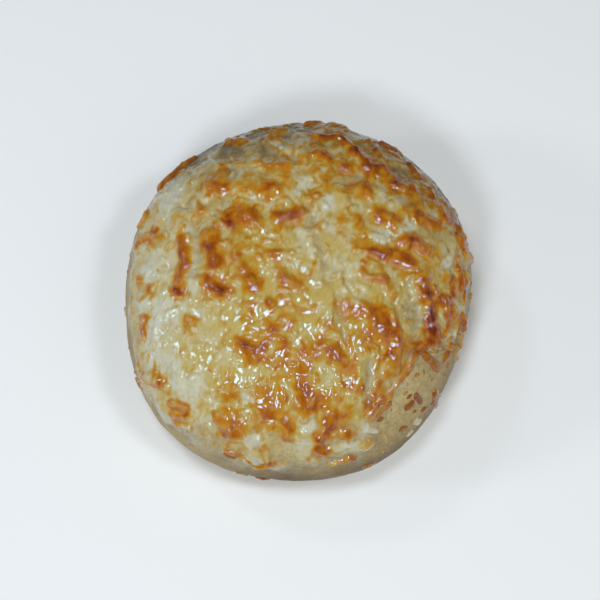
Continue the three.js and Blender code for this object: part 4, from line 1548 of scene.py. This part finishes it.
class BreadSettings(bpy.types.PropertyGroup):
    """The bread's sizes and crust."""

    roll_radius: bpy.props.FloatProperty(
        name="Roll radius", description="Mean plan radius at the waist", default=52.6 * MM,
        subtype="DISTANCE", unit="LENGTH")
    roll_height: bpy.props.FloatProperty(
        name="Roll height", description="Top of the bread, under the cheese", default=48 * MM,
        subtype="DISTANCE", unit="LENGTH")
    waist_height: bpy.props.FloatProperty(
        name="Waist height", description="Height of the widest part", default=18.5 * MM,
        subtype="DISTANCE", unit="LENGTH")
    sides: bpy.props.IntProperty(
        name="Sides", description="Points round the bread", default=540)
    rings: bpy.props.IntProperty(
        name="Rings", description="Rings of points on the part of the bread that shows", default=100)
    crust_pale: bpy.props.FloatVectorProperty(
        name="Pale crust", description="Crust where it baked least", size=4, subtype="COLOR",
        default=srgb(202, 181, 130))
    crust_tan: bpy.props.FloatVectorProperty(
        name="Tan crust", description="Crust where it baked more", size=4, subtype="COLOR",
        default=srgb(155, 132, 86))
    # The dark end of the crust shows mostly where painted shade darkens the waist and far side
    crust_dark_shaded: bpy.props.FloatVectorProperty(
        name="Dark crust", description="Crust where it baked most", size=4, subtype="COLOR",
        default=srgb(86, 60, 28))


class CheeseSettings(bpy.types.PropertyGroup):
    """The melted sheet's sizes and colours."""

    film: bpy.props.FloatProperty(
        name="Film", description="Thickness of the sheet between the shreds", default=1.3 * MM,
        subtype="DISTANCE", unit="LENGTH")
    ridge_height: bpy.props.FloatProperty(
        name="Ridge height", description="Height of the browned shreds above the film", default=1.0 * MM,
        subtype="DISTANCE", unit="LENGTH")
    bedding: bpy.props.FloatProperty(
        name="Bedding", description="How deep the sheet is baked into the crust", default=0.4 * MM,
        subtype="DISTANCE", unit="LENGTH")
    shell_reach: bpy.props.FloatProperty(
        name="Shell reach", description="Arc out to which the sheet may run", default=68 * MM,
        subtype="DISTANCE", unit="LENGTH")
    spacing: bpy.props.FloatProperty(
        name="Point spacing", description="Between the sheet's points", default=0.42 * MM,
        subtype="DISTANCE", unit="LENGTH")
    laid_shreds: bpy.props.IntProperty(
        name="Laid shreds", description="Shreds melted nearly flat over the sheet", default=420)
    rim_shreds: bpy.props.IntProperty(
        name="Rim shreds", description="Short shreds lying along the sheet's edge", default=60)
    blisters: bpy.props.IntProperty(
        name="Blisters", description="Small round blisters", default=600)
    seed: bpy.props.IntProperty(
        name="Seed", description="Start of the row of uneven numbers", default=41)
    cream_colour: bpy.props.FloatVectorProperty(
        name="Cream cheese", description="Melted cheese that stayed pale", size=4,
        subtype="COLOR", default=srgb(208, 205, 184))
    butter_colour: bpy.props.FloatVectorProperty(
        name="Butter cheese", description="Melted cheese that stayed yellow", size=4,
        subtype="COLOR", default=srgb(198, 173, 97))


class StraySettings(bpy.types.PropertyGroup):
    """The bits of cheese that lie on bare crust."""

    fallen: bpy.props.IntProperty(
        name="Fallen shreds", description="Short shreds that fell past the sheet", default=22)
    crumbs: bpy.props.IntProperty(
        name="Crumbs", description="Crumbs of cheese round the sheet's edge", default=60)
    crook: bpy.props.FloatProperty(
        name="Crook", description="How far a shred bends off its line", default=1.3 * MM,
        subtype="DISTANCE", unit="LENGTH")
    seed: bpy.props.IntProperty(
        name="Seed", description="Start of the row of uneven numbers", default=17)


class StageSettings(bpy.types.PropertyGroup):
    """The floor, lights and camera."""

    floor_colour: bpy.props.FloatVectorProperty(
        name="Floor", description="Colour of the plain floor", size=4, subtype="COLOR",
        default=(0.90, 0.90, 0.90, 1.0))
    elevation: bpy.props.FloatProperty(
        name="Elevation", description="Camera's angle above the floor", default=math.radians(72),
        subtype="ANGLE", unit="ROTATION")
    distance: bpy.props.FloatProperty(
        name="Distance", description="From the camera to the middle of the roll", default=560 * MM,
        subtype="DISTANCE", unit="LENGTH")
    lens: bpy.props.FloatProperty(
        name="Lens", description="Focal length in millimetres", default=114.7)


class CheeseRollSettings(bpy.types.PropertyGroup):
    """All settings of the cheese roll."""

    bread: bpy.props.PointerProperty(type=BreadSettings)
    cheese: bpy.props.PointerProperty(type=CheeseSettings)
    strays: bpy.props.PointerProperty(type=StraySettings)
    stage: bpy.props.PointerProperty(type=StageSettings)


def place_piece(piece, material, node):
    piece.data.materials.clear()
    piece.data.materials.append(material)
    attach(piece, BODY)
    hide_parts(node)


# Operators

class CHEESEROLL_OT_bread(bpy.types.Operator):
    """Make the bread with its baked crust"""

    bl_idname = "cheeseroll.bread"
    bl_label = "Bread"

    def execute(self, context):
        settings = context.scene.cheese_roll
        piece = bread_piece(Crust(settings.bread), settings.bread)
        place_piece(piece, crust_material(settings.bread), "bread")
        return {"FINISHED"}


class CHEESEROLL_OT_cheese(bpy.types.Operator):
    """Make the sheet of melted, browned cheese"""

    bl_idname = "cheeseroll.cheese"
    bl_label = "Melted cheese"

    def execute(self, context):
        settings = context.scene.cheese_roll
        piece = cheese_piece(Crust(settings.bread), settings.cheese)
        place_piece(piece, cheese_material(settings.bread, settings.cheese), "cheese")
        return {"FINISHED"}


class CHEESEROLL_OT_strays(bpy.types.Operator):
    """Make the shreds and crumbs of cheese that baked on to bare crust"""

    bl_idname = "cheeseroll.strays"
    bl_label = "Stray cheese"

    def execute(self, context):
        settings = context.scene.cheese_roll
        strays = settings.strays
        crust = Crust(settings.bread)
        skin = bpy.data.materials.get("cheese_skin") or cheese_material(settings.bread, settings.cheese)
        tree = bits_tree()
        shreds, crumbs = stray_bits(crust, strays), crumb_bits(crust, strays)
        crumb_crook = strays.crook / CRUMB_STRAIGHTER
        kinds = (
            ("stray_shreds", shreds, STRAY_DETAIL, strays.crook, STRAY_CROOK_SIZE),
            ("cheese_crumbs", crumbs, CRUMB_DETAIL, crumb_crook, CRUMB_CROOK_SIZE),
        )
        for name, bits, detail, crook, crook_size in kinds:
            piece = bits_piece(name, bits, tree, {
                **detail,
                "Flatness": BIT_FLATNESS,
                "Crook": crook,
                "Crook size": crook_size,
                "Seed": float(strays.seed),
                "Material": skin,
            })
            place_piece(piece, skin, "bread")
        return {"FINISHED"}


class CHEESEROLL_OT_stage(bpy.types.Operator):
    """Make the floor, lights and camera"""

    bl_idname = "cheeseroll.stage"
    bl_label = "Stage"

    def execute(self, context):
        stage = context.scene.cheese_roll.stage
        make_floor(stage)
        make_lights()
        make_camera(stage)
        context.scene.view_settings.view_transform = "Standard"
        return {"FINISHED"}


def make_floor(stage):
    low, high = -FLOOR_HALF, FLOOR_HALF
    corners = [(low, low, 0), (high, low, 0), (high, high, 0), (low, high, 0)]
    floor = mesh_object("floor", corners, [(0, 1, 2, 3)], smooth=False)
    material, _, shader = new_material("plain_floor")
    set_inputs(shader, {"Base Color": stage.floor_colour, "Roughness": FLOOR_ROUGHNESS})
    floor.data.materials.append(material)


def facing(direction):
    """The turn that makes a light or camera look along a direction."""
    return direction.to_track_quat("-Z", "Y").to_euler()


def make_lights():
    for lamp in LAMPS:
        data = bpy.data.lights.new(lamp.name, "AREA")
        data.shape = "DISK"
        data.size = lamp.size
        data.energy = lamp.power
        data.color = lamp.colour
        light = linked_object(lamp.name, data)
        light.location = lamp.place
        light.rotation_euler = facing(AIM - light.location)
    world = bpy.context.scene.world or bpy.data.worlds.new("soft_room")
    bpy.context.scene.world = world
    world.use_nodes = True
    set_inputs(world.node_tree.nodes["Background"], {"Color": ROOM_COLOUR, "Strength": ROOM_STRENGTH})


def make_camera(stage):
    data = bpy.data.cameras.new("camera")
    data.lens = stage.lens
    data.sensor_width = SENSOR_WIDTH
    data.shift_x, data.shift_y = CAMERA_SHIFT
    camera = linked_object("camera", data)
    back = Vector((0.0, -math.cos(stage.elevation), math.sin(stage.elevation)))
    camera.location = AIM + back * stage.distance
    camera.rotation_euler = facing(-back)
    bpy.context.scene.camera = camera


class CHEESEROLL_PT_panel(bpy.types.Panel):
    """Lists the operators that build the cheese roll"""

    bl_idname = "CHEESEROLL_PT_panel"
    bl_label = "Cheese roll"
    bl_space_type = "VIEW_3D"
    bl_region_type = "UI"
    bl_category = "Cheese roll"

    def draw(self, context):
        for step in STEPS:
            self.layout.operator(step.bl_idname)


STEPS = (CHEESEROLL_OT_bread, CHEESEROLL_OT_cheese, CHEESEROLL_OT_strays, CHEESEROLL_OT_stage)
SETTINGS = (BreadSettings, CheeseSettings, StraySettings, StageSettings, CheeseRollSettings)
CLASSES = (*SETTINGS, *STEPS, CHEESEROLL_PT_panel)


def register():
    for item in CLASSES:
        bpy.utils.register_class(item)
    bpy.types.Scene.cheese_roll = bpy.props.PointerProperty(type=CheeseRollSettings)


def unregister():
    del bpy.types.Scene.cheese_roll
    for item in reversed(CLASSES):
        bpy.utils.unregister_class(item)


def main():
    register()
    bpy.ops.cheeseroll.bread()
    bpy.ops.cheeseroll.cheese()
    bpy.ops.cheeseroll.strays()
    bpy.ops.cheeseroll.stage()


if __name__ == "__main__":
    main()
